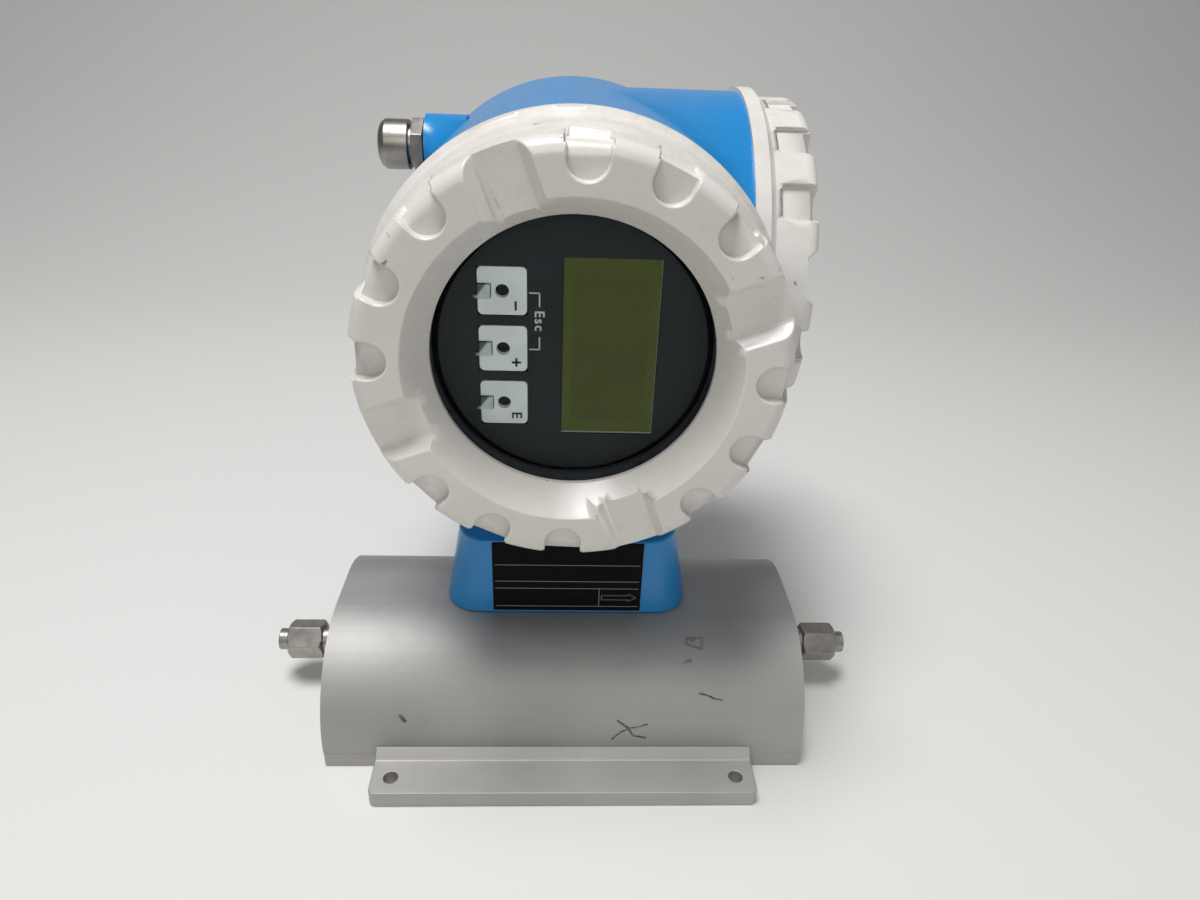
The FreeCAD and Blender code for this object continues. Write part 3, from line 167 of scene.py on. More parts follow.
class Finish:
    """A material while it is put together, with one main shader."""

    def __init__(self, name, constants=None):
        self.material = bpy.data.materials.new(name)
        self.material.use_nodes = True
        self.tree = self.material.node_tree
        self.tree.nodes.clear()
        self.output = self.tree.nodes.new("ShaderNodeOutputMaterial")
        self.shader = self.tree.nodes.new("ShaderNodeBsdfPrincipled")
        self.tree.links.new(self.shader.outputs[0], self.output.inputs["Surface"])
        for key, value in (constants or {}).items():
            self.shader.inputs[key].default_value = value
        self.place = self.node("ShaderNodeTexCoord", out="Object")
        parts = self.node("ShaderNodeSeparateXYZ", sockets={"Vector": self.place}, out=None)
        self.x, self.y, self.z = (Signal(self.tree, socket) for socket in parts.outputs)

    def node(self, kind, settings=None, sockets=None, out=0):
        """Add any node: its settings first, then the values or links of its sockets."""
        node = self.tree.nodes.new(kind)
        for key, value in (settings or {}).items():
            setattr(node, key, value)
        for key, value in (sockets or {}).items():
            join(self.tree, node.inputs[key], value)
        return node if out is None else Signal(self.tree, node.outputs[out])

    def set(self, name, value):
        join(self.tree, self.shader.inputs[name], value)

    def stretched(self, scale, turn=(0, 0, 0)):
        """Coordinates with a scale of their own along each axis, for brushed or drawn patterns."""
        whole = tuple(1 / part for part in scale)
        return self.node("ShaderNodeMapping", {"vector_type": "TEXTURE"},
                         {"Vector": self.place, "Rotation": turn, "Scale": whole})

    def noise(self, scale, detail=3.0, rough=0.5, place=None):
        sockets = {"Vector": place or self.place, "Scale": scale, "Detail": detail, "Roughness": rough}
        return self.node("ShaderNodeTexNoise", {"noise_dimensions": "3D"}, sockets)

    def cells(self, scale):
        return self.node("ShaderNodeTexVoronoi", {"feature": "F1"}, {"Vector": self.place, "Scale": scale})

    def ease(self, value, low, high, start=0.0, end=1.0):
        """Blend smoothly from start to end while value runs from low to high."""
        return self.node("ShaderNodeMapRange", {"interpolation_type": "SMOOTHSTEP", "clamp": True},
                         {"Value": value, "From Min": low, "From Max": high, "To Min": start, "To Max": end})

    def blend(self, mask, under, over):
        node = self.node("ShaderNodeMix", {"data_type": "RGBA"}, {0: mask}, out=None)
        join(self.tree, node.inputs[6], under)
        join(self.tree, node.inputs[7], over)
        return Signal(self.tree, node.outputs[2])

    def bump(self, height, distance, strength):
        sockets = {"Height": height, "Distance": distance, "Strength": strength}
        self.set("Normal", self.node("ShaderNodeBump", None, sockets))

    def stroke(self, across, up, points, width):
        """A drawn line through points, as a mask that fades at its sides."""
        nearest = None
        for (ax, ay), (bx, by) in zip(points, points[1:]):
            dx, dy = bx - ax, by - ay
            reach = dx * dx + dy * dy
            along = ((across - ax) * dx + (up - ay) * dy) / reach
            along = along.most(0.0).least(1.0)
            gap = ((across - ax - along * dx) ** 2.0 + (up - ay - along * dy) ** 2.0).root()
            nearest = gap if nearest is None else nearest.least(gap)
        return self.ease(nearest, width * 0.35, width, 1.0, 0.0)

    def drawing(self, across, up, marks):
        """Several drawn lines as one mask: each mark is its points and its width."""
        first, *others = (self.stroke(across, up, points, width) for points, width in marks)
        for line in others:
            first = first.most(line)
        return first


def colour(rgb):
    return (rgb[0], rgb[1], rgb[2], 1.0)


def shade(rgb, factor):
    return (rgb[0] * factor, rgb[1] * factor, rgb[2] * factor, 1.0)


# Marks drawn by hand on the sensor shell: (X, Y + Z) in metres
PEN_MARKS = (
    (((-0.0770, -0.0284), (-0.0751, -0.0316)), 0.0014),
    (((0.0223, -0.0432), (0.0264, -0.0387), (0.0302, -0.0361), (0.0330, -0.0358), (0.0387, -0.0337)),
     0.0008),
    (((0.0248, -0.0315), (0.0297, -0.0361), (0.0322, -0.0410), (0.0380, -0.0423)), 0.0009),
    (((0.0637, -0.0138), (0.0675, -0.0151), (0.0704, -0.0170), (0.0742, -0.0181)), 0.0009),
)
FAINT_MARKS = (
    (((0.0586, 0.0229), (0.0655, 0.0229), (0.0652, 0.0154), (0.0579, 0.0187), (0.0586, 0.0229)), 0.0012),
    (((0.0596, 0.0229), (0.0609, 0.0205), (0.0630, 0.0229)), 0.0010),
    (((0.0568, 0.0060), (0.0593, 0.0083), (0.0595, 0.0067)), 0.0010),
)
MARKED_FRONT = (-0.012, -0.016)


def blasted_steel(name, tone, marked=False):
    """Stainless sheet, bead-blasted: fine grain, soft clouds and a few stains."""
    finish = Finish(name, {"Metallic": 1.0})
    clouds = finish.noise(14.0, 4.0, 0.55)
    stains = finish.noise(55.0, 5.0, 0.65)
    grain = finish.noise(2600.0, 2.0, 0.6)
    drawn = finish.noise(1.0, 3.0, 0.6, finish.stretched((9.0, 700.0, 700.0)))
    base = finish.blend(finish.ease(clouds, 0.35, 0.68), shade(tone, 0.90), shade(tone, 1.05))
    base = finish.blend(finish.ease(stains, 0.60, 0.78, 0.0, 0.30), base, shade(tone, 0.62))
    base = finish.blend(finish.ease(drawn, 0.35, 0.75, 0.0, 0.12), base, shade(tone, 0.7))
    rough = 0.54 + clouds * 0.10 + stains * 0.08 + grain * 0.05
    if marked:
        level = finish.y + finish.z
        front = finish.ease(finish.y, *MARKED_FRONT)
        strong = finish.drawing(finish.x, level, PEN_MARKS)
        faint = finish.drawing(finish.x, level, FAINT_MARKS)
        patchy = finish.ease(finish.noise(420.0, 3.0), 0.30, 0.62, 0.45, 1.0)
        ink = (strong * 0.66).most(faint * 0.34) * front * patchy
        base = finish.blend(ink, base, (0.015, 0.015, 0.017, 1.0))
        rough = rough + ink * 0.25
    finish.set("Base Color", base)
    finish.set("Roughness", rough)
    finish.bump(grain * 0.7 + drawn * 0.3, 0.00004, 0.35)
    return finish.material


def turned_steel(name, tone, axis):
    """Machined steel: fine turning lines across the axis, with handling smears."""
    finish = Finish(name, {"Metallic": 1.0})
    along = {"x": finish.x, "y": finish.y, "z": finish.z}[axis]
    smear = finish.noise(160.0, 4.0, 0.6)
    lines = (along * 16000.0 + smear * 5.0).sine() * 0.5 + 0.5
    base = finish.blend(finish.ease(smear, 0.35, 0.7), shade(tone, 0.82), shade(tone, 1.08))
    pits = finish.ease(finish.noise(900.0, 3.0, 0.7), 0.62, 0.74)
    base = finish.blend(pits * 0.4, base, shade(tone, 0.45))
    finish.set("Base Color", base)
    finish.set("Roughness", 0.26 + smear * 0.16 + lines * 0.05 + pits * 0.15)
    finish.bump(lines * 0.5 + smear * 0.5, 0.00002, 0.5)
    return finish.material


COAT_GLOSS = 0.5
COAT_ROUGH = 0.20


def powder_coat(name, tone, grime, speckle):
    """Sprayed and baked coat: orange-peel skin, faint clouding and small dark nicks."""
    finish = Finish(name, {"Metallic": 0.0, "Specular IOR Level": COAT_GLOSS})
    clouds = finish.noise(11.0, 3.0, 0.5)
    peel = finish.noise(780.0, 2.0, 0.5)
    dust = finish.noise(90.0, 5.0, 0.7)
    nicks = finish.ease(finish.noise(310.0, 2.0, 0.4), 0.735, 0.765)
    nicks = nicks * finish.ease(finish.noise(23.0, 2.0), 0.50, 0.62)
    base = finish.blend(finish.ease(clouds, 0.35, 0.66), shade(tone, 0.95), shade(tone, 1.03))
    base = finish.blend(finish.ease(dust, 0.56, 0.80, 0.0, grime), base, shade((0.42, 0.38, 0.33), 0.7))
    base = finish.blend(nicks * speckle, base, (0.09, 0.085, 0.08, 1.0))
    finish.set("Base Color", base)
    finish.set("Roughness", COAT_ROUGH + clouds * 0.06 + dust * 0.10 + nicks * 0.2)
    finish.bump(peel, 0.00006, 0.30)
    return finish


def cover_coat(name, tone, looks_right, turn, scuffs):
    """The covers' pale coat: darker and browner in patches in the scallops' hollows, and scuffed along the
    notch edges.
    """
    finish = powder_coat(name, tone, 0.14, 0.7)
    if looks_right:
        flat = finish.y * -1.0 + CROSS_AXIS
        sunk = finish.x * -1.0 + COVER_HIGH.x
    else:
        flat = finish.x
        sunk = finish.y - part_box("front_cover")[0].y
    up = finish.z - AXIS_HEIGHT
    reach = (flat * flat + up * up).root()
    round_angle = up.angle(flat) - turn
    quarter = (round_angle + math.pi / 4).remainder(math.pi / 2) - math.pi / 4
    edge_gap = abs(abs(quarter * reach) - HALF_NOTCH)
    rim = finish.ease(reach, *RIM_REACH) * finish.ease(sunk, *RIM_DEPTH)
    worn = finish.ease(edge_gap, 0.0008, 0.0022, 1.0, 0.0) * rim
    broken = finish.ease(finish.noise(900.0, 6.0, 0.8), 0.52, 0.74)
    broken = broken * finish.ease(finish.noise(38.0, 2.0), 0.48, 0.62)
    outer = finish.ease(reach, *EDGE_REACH) * finish.ease(sunk, *EDGE_DEPTH)
    chipped = finish.ease(finish.noise(95.0, 4.0, 0.7), 0.60, 0.70) * outer
    mark = (worn * broken * 0.26).most(chipped * 0.12)
    for points, width, amount in scuffs:
        line = finish.stroke(flat, up, points, width)
        mark = mark.most(line * amount * rim * finish.ease(finish.noise(330.0, 4.0, 0.6), 0.38, 0.66))
    base = finish.shader.inputs["Base Color"].links[0].from_socket
    # Patchy brownish darkening in the scallops' hollows.
    scoop_darkening = finish.ease(sunk, *SCOOP_DEPTH) * finish.ease(reach, *SCOOP_REACH)
    scoop_darkening = scoop_darkening * finish.ease(finish.noise(70.0, 4.0, 0.6), 0.42, 0.70) * 0.16
    scoop_darkened = finish.blend(scoop_darkening, Signal(finish.tree, base), (0.33, 0.29, 0.24, 1.0))
    finish.set("Base Color", finish.blend(mark, scoop_darkened, (0.10, 0.095, 0.09, 1.0)))
    return finish.material


def nickel_plate(name, tone):
    """Nickel-plated brass: a warm film, fine turning lines and a few dull spots."""
    finish = Finish(name, {"Metallic": 1.0})
    film = finish.noise(120.0, 4.0, 0.6)
    lines = (finish.x * 9000.0 + film * 3.0).sine() * 0.5 + 0.5
    spots = finish.ease(finish.noise(520.0, 3.0, 0.6), 0.64, 0.74)
    base = finish.blend(finish.ease(film, 0.35, 0.70), shade(tone, 0.85), shade(tone, 1.10))
    finish.set("Base Color", finish.blend(spots * 0.4, base, shade(tone, 0.4)))
    finish.set("Roughness", 0.28 + film * 0.16 + spots * 0.2)
    finish.bump(lines, 0.00001, 0.4)
    return finish.material


def moulded(name, tone, rough, grain=900.0, gloss=0.5):
    """Moulded plastic with a fine spark-eroded grain and slight tone changes."""
    finish = Finish(name, {"Metallic": 0.0, "Specular IOR Level": gloss})
    skin = finish.noise(grain, 2.0, 0.6)
    clouds = finish.noise(60.0, 3.0, 0.5)
    base = finish.blend(finish.ease(clouds, 0.3, 0.7), shade(tone, 0.92), shade(tone, 1.06))
    finish.set("Base Color", base)
    finish.set("Roughness", rough + clouds * 0.08 + skin * 0.06)
    finish.bump(skin, 0.00003, 0.3)
    return finish.material


def light_guide(name, tone):
    """Clear prism of an optical key, coloured as opaque: painted shade where its dark inside would show, a
    painted highlight along its lit slope.
    """
    finish = Finish(name, {"Metallic": 0.0, "Coat Weight": 0.5})
    level = (finish.z - AXIS_HEIGHT + KEY_PITCH / 2).remainder(KEY_PITCH) - KEY_PITCH / 2
    slope = level * 0.75 - (finish.x - PRISM_LEFT) + 0.0012
    haze = finish.noise(260.0, 3.0, 0.5)
    pale = finish.blend(finish.ease(haze, 0.3, 0.7), shade(tone, 0.88), shade(tone, 1.08))
    # Painted shade on one side of the slope line across each prism, a painted highlight tone on the other.
    shaded = finish.ease(slope, -0.0008, 0.0008, 0.0, 0.94)
    finish.set("Base Color", finish.blend(shaded, pale, (0.012, 0.013, 0.015, 1.0)))
    finish.set("Roughness", 0.2 + haze * 0.1)
    return finish.material


def rubber(name):
    """Black sealing rubber with a grey bloom."""
    finish = Finish(name, {"Metallic": 0.0, "Specular IOR Level": 0.3})
    bloom = finish.noise(220.0, 5.0, 0.7)
    skin = finish.noise(1600.0, 2.0, 0.6)
    base = finish.blend(finish.ease(bloom, 0.45, 0.8), (0.018, 0.018, 0.019, 1.0), (0.06, 0.058, 0.056, 1.0))
    finish.set("Base Color", base)
    finish.set("Roughness", 0.62 + bloom * 0.2)
    finish.bump(skin, 0.00004, 0.4)
    return finish.material


def screen_film(name, tone):
    """Reflective display glass, unlit: olive, with the dot field just visible, a paler border that grows
    stronger towards the bottom, and painted highlights along the right and bottom edges.
    """
    finish = Finish(name, {"Metallic": 0.0, "Specular IOR Level": 0.2})
    low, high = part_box("lcd_panel")
    pitch = 0.00056
    fine = 0.00007
    column = abs(finish.x.remainder(pitch) - pitch / 2)
    row = abs(finish.z.remainder(pitch) - pitch / 2)
    gap = finish.ease(column.most(row), pitch / 2 - fine, pitch / 2)
    inside = finish.ease(finish.x, low.x + 0.003, low.x + 0.004)
    inside = inside * finish.ease(finish.x, high.x - 0.004, high.x - 0.003, 1.0, 0.0)
    inside = inside * finish.ease(finish.z, low.z + 0.005, low.z + 0.006)
    inside = inside * finish.ease(finish.z, high.z - 0.006, high.z - 0.005, 1.0, 0.0)
    # The pale border is stronger towards the bottom.
    falloff = finish.ease(finish.z, low.z, high.z, 1.12, 0.86)
    cloud = finish.noise(30.0, 3.0, 0.5)
    base = finish.blend(finish.ease(cloud, 0.3, 0.7), shade(tone, 0.92), shade(tone, 1.08))
    base = finish.blend(inside * 0.10 * (1.0 - gap), base, shade(tone, 0.45))
    base = finish.blend((1.0 - inside) * 0.18 * falloff, base, shade(tone, 1.5))
    # Painted highlights: thin pale lines along the panel's right and bottom edges.
    lit = finish.ease(high.x - finish.x, 0.0002, 0.0004, 0.45, 0.0).most(
        finish.ease(finish.z - low.z, 0.0004, 0.0007, 0.9, 0.0))
    base = finish.blend(lit, base, (0.42, 0.43, 0.40, 1.0))
    finish.set("Base Color", base)
    finish.set("Roughness", 0.16 + cloud * 0.05)
    return finish.material


def window_pane(name):
    """Clear pane: see-through straight on, mirror-like at a slant, with faint wipe marks."""
    finish = Finish(name, {"Base Color": (0.02, 0.02, 0.02, 1.0)})
    clear = finish.node("ShaderNodeBsdfTransparent", None, {"Color": (0.96, 0.985, 0.975, 1.0)})
    wipes = finish.noise(1.0, 4.0, 0.6, finish.stretched((40.0, 40.0, 140.0), turn=(0, 0.6, 0)))
    finish.set("Roughness", finish.ease(wipes, 0.35, 0.75, 0.02, 0.07))
    slant = finish.node("ShaderNodeLayerWeight", None, {"Blend": 0.5}, out="Facing")
    mirror = 0.03 + slant ** 5.0 * 0.97
    polished = Signal(finish.tree, finish.shader.outputs[0])
    mixed = finish.node("ShaderNodeMixShader", None, {0: mirror, 1: clear, 2: polished})
    join(finish.tree, finish.output.inputs["Surface"], mixed)
    return finish.material


def circuit_board(name, tone):
    """Solder-masked laminate with routed traces and pads."""
    finish = Finish(name, {"Metallic": 0.0, "Coat Weight": 0.2})
    pitch = 0.0026
    lane = abs(finish.z.remainder(pitch) - pitch / 2)
    routed = finish.ease(lane, 0.0004, 0.0005, 1.0, 0.0)
    routed = routed * finish.ease(finish.noise(75.0, 1.0), 0.45, 0.48)
    pads = finish.ease(finish.cells(330.0), 0.22, 0.25, 1.0, 0.0)
    pads = pads * finish.ease(finish.noise(40.0, 1.0), 0.5, 0.53)
    base = finish.blend(routed, colour(tone), shade(tone, 1.8))
    base = finish.blend(pads, base, (0.62, 0.60, 0.55, 1.0))
    finish.set("Base Color", base)
    finish.set("Metallic", pads)
    finish.set("Roughness", 0.42 - pads * 0.12)
    finish.bump(routed.most(pads), 0.00004, 0.6)
    return finish.material


def winding(name, tone):
    """Varnished copper wire, wound in even turns, with painted shade in the grooves between the turns."""
    finish = Finish(name, {"Metallic": 1.0, "Coat Weight": 0.5})
    turns = ((finish.z * 2.0 * math.pi / 0.0003).sine() * 0.5 + 0.5) ** 0.5
    age = finish.noise(300.0, 3.0)
    base = finish.blend(finish.ease(age, 0.3, 0.7), shade(tone, 0.8), shade(tone, 1.15))
    # Painted shade: the grooves between the turns are darkened to a quarter of the copper's tone.
    finish.set("Base Color", finish.blend(turns, shade(tone, 0.25), base))
    finish.set("Roughness", 0.28 + age * 0.12)
    finish.bump(turns, 0.00012, 0.8)
    return finish.material


def sintered(name, tone):
    """Bare pressed metal: dull grey with a sandy break-up."""
    finish = Finish(name, {"Metallic": 0.8})
    sand = finish.noise(1400.0, 4.0, 0.7)
    patch = finish.noise(200.0, 3.0)
    finish.set("Base Color", finish.blend(finish.ease(patch, 0.3, 0.7), shade(tone, 0.75), shade(tone, 1.15)))
    finish.set("Roughness", 0.45 + sand * 0.2)
    finish.bump(sand, 0.00005, 0.5)
    return finish.material


def printed_plate(name, tone, outline):
    """Black anodised plate: satin, with hairline brushing, dust and the flow arrow's outline."""
    finish = Finish(name, {"Metallic": 0.0, "Specular IOR Level": 0.05})
    hair = finish.noise(1.0, 3.0, 0.6, finish.stretched((20.0, 900.0, 1500.0)))
    dust = finish.noise(170.0, 5.0, 0.7)
    base = finish.blend(finish.ease(hair, 0.3, 0.75), shade(tone, 0.8), shade(tone, 1.4))
    base = finish.blend(finish.ease(dust, 0.62, 0.82, 0.0, 0.12), base, (0.20, 0.19, 0.18, 1.0))
    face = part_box("nameplate")[0].y
    drawn = finish.stroke(finish.x, finish.z, outline, 0.0004)
    drawn = drawn * finish.ease(finish.y, face + 0.0004, face + 0.0002)
    finish.set("Base Color", finish.blend(drawn * 0.7, base, (0.16, 0.16, 0.165, 1.0)))
    finish.set("Roughness", 0.34 + dust * 0.16)
    finish.bump(hair, 0.00001, 0.4)
    return finish.material


def ink(name, tone):
    """Screen-printed ink, slightly uneven in cover."""
    finish = Finish(name, {"Metallic": 0.0})
    cover = finish.noise(900.0, 3.0, 0.6)
    finish.set("Base Color", finish.blend(finish.ease(cover, 0.3, 0.7), shade(tone, 0.85), shade(tone, 1.05)))
    finish.set("Roughness", 0.45 + cover * 0.12)
    return finish.material


class FlowMeterSizes(bpy.types.PropertyGroup):
    """Sizes that the looks add to the frame."""

    casting_edge: FloatProperty(
        name="Casting Edge", description="Rounding of the painted castings' edges",
        default=0.0011, min=0.0001, max=0.003, subtype="DISTANCE", unit="LENGTH")
    steel_edge: FloatProperty(
        name="Steel Edge", description="Rounding of the cut steel edges",
        default=0.0005, min=0.0001, max=0.002, subtype="DISTANCE", unit="LENGTH")
    small_edge: FloatProperty(
        name="Small Edge", description="Rounding of the small pieces' edges",
        default=0.0003, min=0.00005, max=0.001, subtype="DISTANCE", unit="LENGTH")
    print_height: FloatProperty(
        name="Print Height", description="Thickness of printed ink",
        default=0.00008, min=0.00002, max=0.0005, subtype="DISTANCE", unit="LENGTH")
    legend_size: FloatProperty(
        name="Legend Size", description="Letter height of the key legends",
        default=0.0056, min=0.001, max=0.01, subtype="DISTANCE", unit="LENGTH")


class FlowMeterColours(bpy.types.PropertyGroup):
    """Colours that a user would change."""

    coat_blue: FloatVectorProperty(
        name="Housing Blue", description="Coat of the housing and pedestal", default=(0.010, 0.210, 0.520),
        subtype="COLOR", min=0.0, max=1.0)
    coat_white: FloatVectorProperty(
        name="Cover White", description="Coat of the two covers", default=(0.700, 0.672, 0.628),
        subtype="COLOR", min=0.0, max=1.0)
    sheet_steel: FloatVectorProperty(
        name="Sheet Steel", description="Blasted stainless sheet of the sensor",
        default=(0.500, 0.488, 0.472), subtype="COLOR", min=0.0, max=1.0)
    fitting_steel: FloatVectorProperty(
        name="Fitting Steel", description="Turned steel of the couplings", default=(0.400, 0.378, 0.352),
        subtype="COLOR", min=0.0, max=1.0)
    nickel: FloatVectorProperty(
        name="Nickel", description="Plating of the cable glands", default=(0.335, 0.310, 0.277),
        subtype="COLOR", min=0.0, max=1.0)
    screen: FloatVectorProperty(
        name="Screen", description="Unlit display", default=(0.088, 0.100, 0.021),
        subtype="COLOR", min=0.0, max=1.0)
    bezel: FloatVectorProperty(
        name="Bezel", description="Black display plastics", default=(0.019, 0.0205, 0.026),
        subtype="COLOR", min=0.0, max=1.0)
    keys: FloatVectorProperty(
        name="Keys", description="Pale key fields", default=(0.900, 0.910, 0.925),
        subtype="COLOR", min=0.0, max=1.0)
    floor: FloatVectorProperty(
        name="Floor", description="Plain stage floor", default=(0.740, 0.735, 0.715),
        subtype="COLOR", min=0.0, max=1.0)


def sizes():
    return bpy.context.scene.flow_meter_sizes


def colours():
    return bpy.context.scene.flow_meter_colours


def clear_selection():
    if bpy.context.object and bpy.context.object.mode != "OBJECT":
        bpy.ops.object.mode_set(mode="OBJECT")
    bpy.ops.object.select_all(action="DESELECT")


def make_active(piece):
    clear_selection()
    piece.select_set(True)
    bpy.context.view_layer.objects.active = piece


def dress(piece, material):
    """Give a piece one material in place of any it had."""
    piece.data.materials.clear()
    piece.data.materials.append(material)


def dress_nodes(material, *names):
    for name in names:
        dress(NODES[name], material)


def apply_modifier(piece, kind, **settings):
    """Add a modifier with its settings and apply it to the mesh."""
    modifier = piece.modifiers.new(kind.lower(), kind)
    for key, value in settings.items():
        setattr(modifier, key, value)
    make_active(piece)
    bpy.ops.object.modifier_apply(modifier=modifier.name)


def body_with(node):
    """The moving body that carries a node."""
    bodies = frame["record"]["behaviour"]["bodies"]
    return next(body for body, members in bodies.items() if node in members)


def copied(node):
    """A copy of a solid's mesh with its triangles merged into whole flat faces."""
    piece = bpy.data.objects.new(node + "_soft", NODES[node].data.copy())
    bpy.context.scene.collection.objects.link(piece)
    make_active(piece)
    bpy.ops.object.mode_set(mode="EDIT")
    bpy.ops.mesh.select_all(action="SELECT")
    bpy.ops.mesh.remove_doubles(threshold=0.000002)
    bpy.ops.mesh.dissolve_limited(angle_limit=math.radians(0.4))
    bpy.ops.object.mode_set(mode="OBJECT")
    return piece


def settled(piece, node, material, smooth):
    """Put a finished copy in the place of its solid."""
    finish_piece(piece, material, body_with(node), smooth)
    apply_modifier(piece, "WEIGHTED_NORMAL", mode="FACE_AREA", keep_sharp=True)
    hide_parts(node)
    return piece


def softened(node, width, material, segments=2):
    """A copy of a solid whose sharp edges are rounded, in place of the solid."""
    piece = copied(node)
    apply_modifier(piece, "BEVEL", width=width, segments=segments, limit_method="ANGLE",
                   angle_limit=math.radians(28.0), use_clamp_overlap=False, harden_normals=False,
                   miter_outer="MITER_ARC")
    return settled(piece, node, material, 40.0)


def smoothed(node, material):
    """A copy of a solid that has its roundings already, shaded evenly."""
    return settled(copied(node), node, material, 32.0)


def finish_piece(piece, material, body, smooth=30.0):
    """Shade and dress a piece, and let it move with its body."""
    make_active(piece)
    bpy.ops.object.shade_smooth_by_angle(angle=math.radians(smooth))
    dress(piece, material)
    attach(piece, body)
    return piece


def front_text(name, words, size, centre, depth, material, body):
    """Printed words that read downwards on a face towards the front, made a mesh in place."""
    clear_selection()
    bpy.ops.object.text_add()
    piece = bpy.context.object
    piece.name = name
    piece.data.body = words
    piece.data.align_x = "CENTER"
    piece.data.align_y = "CENTER"
    piece.data.size = size
    piece.data.extrude = sizes().print_height
    piece.data.offset = size * 0.016
    piece.data.space_character = 1.22
    bpy.ops.object.convert(target="MESH")
    piece = bpy.context.object
    spin = Matrix.Rotation(math.pi / 2, 4, "Y") @ Matrix.Rotation(math.pi / 2, 4, "X")
    corners = [spin @ Vector(corner) for corner in piece.bound_box]
    middle = (Vector(map(min, *corners)) + Vector(map(max, *corners))) / 2
    target = Vector((centre[0], depth, centre[1]))
    shift = target - Vector((middle.x, 0.0, middle.z))
    piece.matrix_world = Matrix.Translation(shift) @ spin
    make_active(piece)
    bpy.ops.object.transform_apply(location=True, rotation=True, scale=True)
    return finish_piece(piece, material, body)


def front_strips(name, strips, depth, height, material, body):
    """Printed bars on an upright face towards the front: (low X, low Z, high X, high Z) each."""
    made = []
    for low_x, low_z, high_x, high_z in strips:
        clear_selection()
        centre = ((low_x + high_x) / 2, depth, (low_z + high_z) / 2)
        bpy.ops.mesh.primitive_plane_add(size=1.0, location=centre, rotation=(math.pi / 2, 0, 0))
        strip = bpy.context.object
        strip.scale = (high_x - low_x, high_z - low_z, 1.0)
        bpy.ops.object.transform_apply(location=True, rotation=True, scale=True)
        made.append(strip)
    clear_selection()
    for strip in made:
        strip.select_set(True)
    bpy.context.view_layer.objects.active = made[0]
    if len(made) > 1:
        bpy.ops.object.join()
    piece = bpy.context.object
    piece.name = name
    bpy.ops.object.mode_set(mode="EDIT")
    bpy.ops.mesh.select_all(action="SELECT")
    bpy.ops.mesh.extrude_region_move(TRANSFORM_OT_translate={"value": (0.0, -height, 0.0)})
    bpy.ops.mesh.select_all(action="SELECT")
    bpy.ops.mesh.normals_make_consistent(inside=False)
    bpy.ops.object.mode_set(mode="OBJECT")
    return finish_piece(piece, material, body)


class FLOWMETER_OT_sensor(bpy.types.Operator):
    """Dress the stainless sensor and its mounting bars"""

    bl_idname = "flow_meter.sensor"
    bl_label = "Sensor"

    def execute(self, context):
        tone = colours().sheet_steel
        dress_nodes(blasted_steel("shell_steel", tone, True), "sensor_shell")
        plain = blasted_steel("plate_steel", tone)
        dress_nodes(plain, "inlet_end_plate", "outlet_end_plate")
        softened("base_plate", sizes().steel_edge, plain)
        bar = blasted_steel("bar_steel", shade(tone, 1.04))
        softened("front_mounting_bar", sizes().steel_edge, bar)
        softened("rear_mounting_bar", sizes().steel_edge, bar)
        return {"FINISHED"}


class FLOWMETER_OT_couplings(bpy.types.Operator):
    """Dress the tube couplings at both ends"""

    bl_idname = "flow_meter.couplings"
    bl_label = "Tube Couplings"

    def execute(self, context):
        steel = turned_steel("coupling_steel", colours().fitting_steel, "x")
        gasket = moulded("gasket_sheet", (0.35, 0.33, 0.28), 0.6)
        for side in ("inlet", "outlet"):
            softened(side + "_nut", sizes().small_edge, steel)
            softened(side + "_coupling", sizes().small_edge, steel)
            softened(side + "_tube_gland", sizes().small_edge, steel)
            dress_nodes(gasket, side + "_gasket")
        return {"FINISHED"}


class FLOWMETER_OT_measuring(bpy.types.Operator):
    """Dress the measuring tube, exciter and pickups inside the sensor"""

    bl_idname = "flow_meter.measuring"
    bl_label = "Measuring Tube"

    def execute(self, context):
        bright = turned_steel("tube_steel", (0.62, 0.62, 0.62), "y")
        dress_nodes(bright, "measuring_tube", "tube_carrier", "tube_clamps", "wire_feedthrough")
        dress_nodes(winding("copper_winding", (0.62, 0.28, 0.12)), "drive_coil", "inlet_pickup_coil",
                    "outlet_pickup_coil")
        dress_nodes(sintered("pressed_magnet", (0.34, 0.34, 0.35)), "drive_magnet", "inlet_pickup_magnet",
                    "outlet_pickup_magnet", "temperature_probe")
        return {"FINISHED"}


class FLOWMETER_OT_castings(bpy.types.Operator):
    """Dress the blue castings: pedestal and transmitter housing"""

    bl_idname = "flow_meter.castings"
    bl_label = "Blue Castings"

    def execute(self, context):
        coat = powder_coat("blue_coat", colours().coat_blue, 0.08, 0.5).material
        softened("pedestal", sizes().casting_edge, coat, 3)
        smoothed("transmitter_housing", coat)
        dress_nodes(rubber("seal_rubber"), "swivel_seal", "front_cover_seal", "terminal_cover_seal",
                    "gland_gaskets", "upper_gland_insert", "lower_gland_insert")
        steel = turned_steel("screw_steel", (0.55, 0.55, 0.55), "x")
        dress_nodes(steel, "swivel_lock_screws", "terminal_screws")
        return {"FINISHED"}


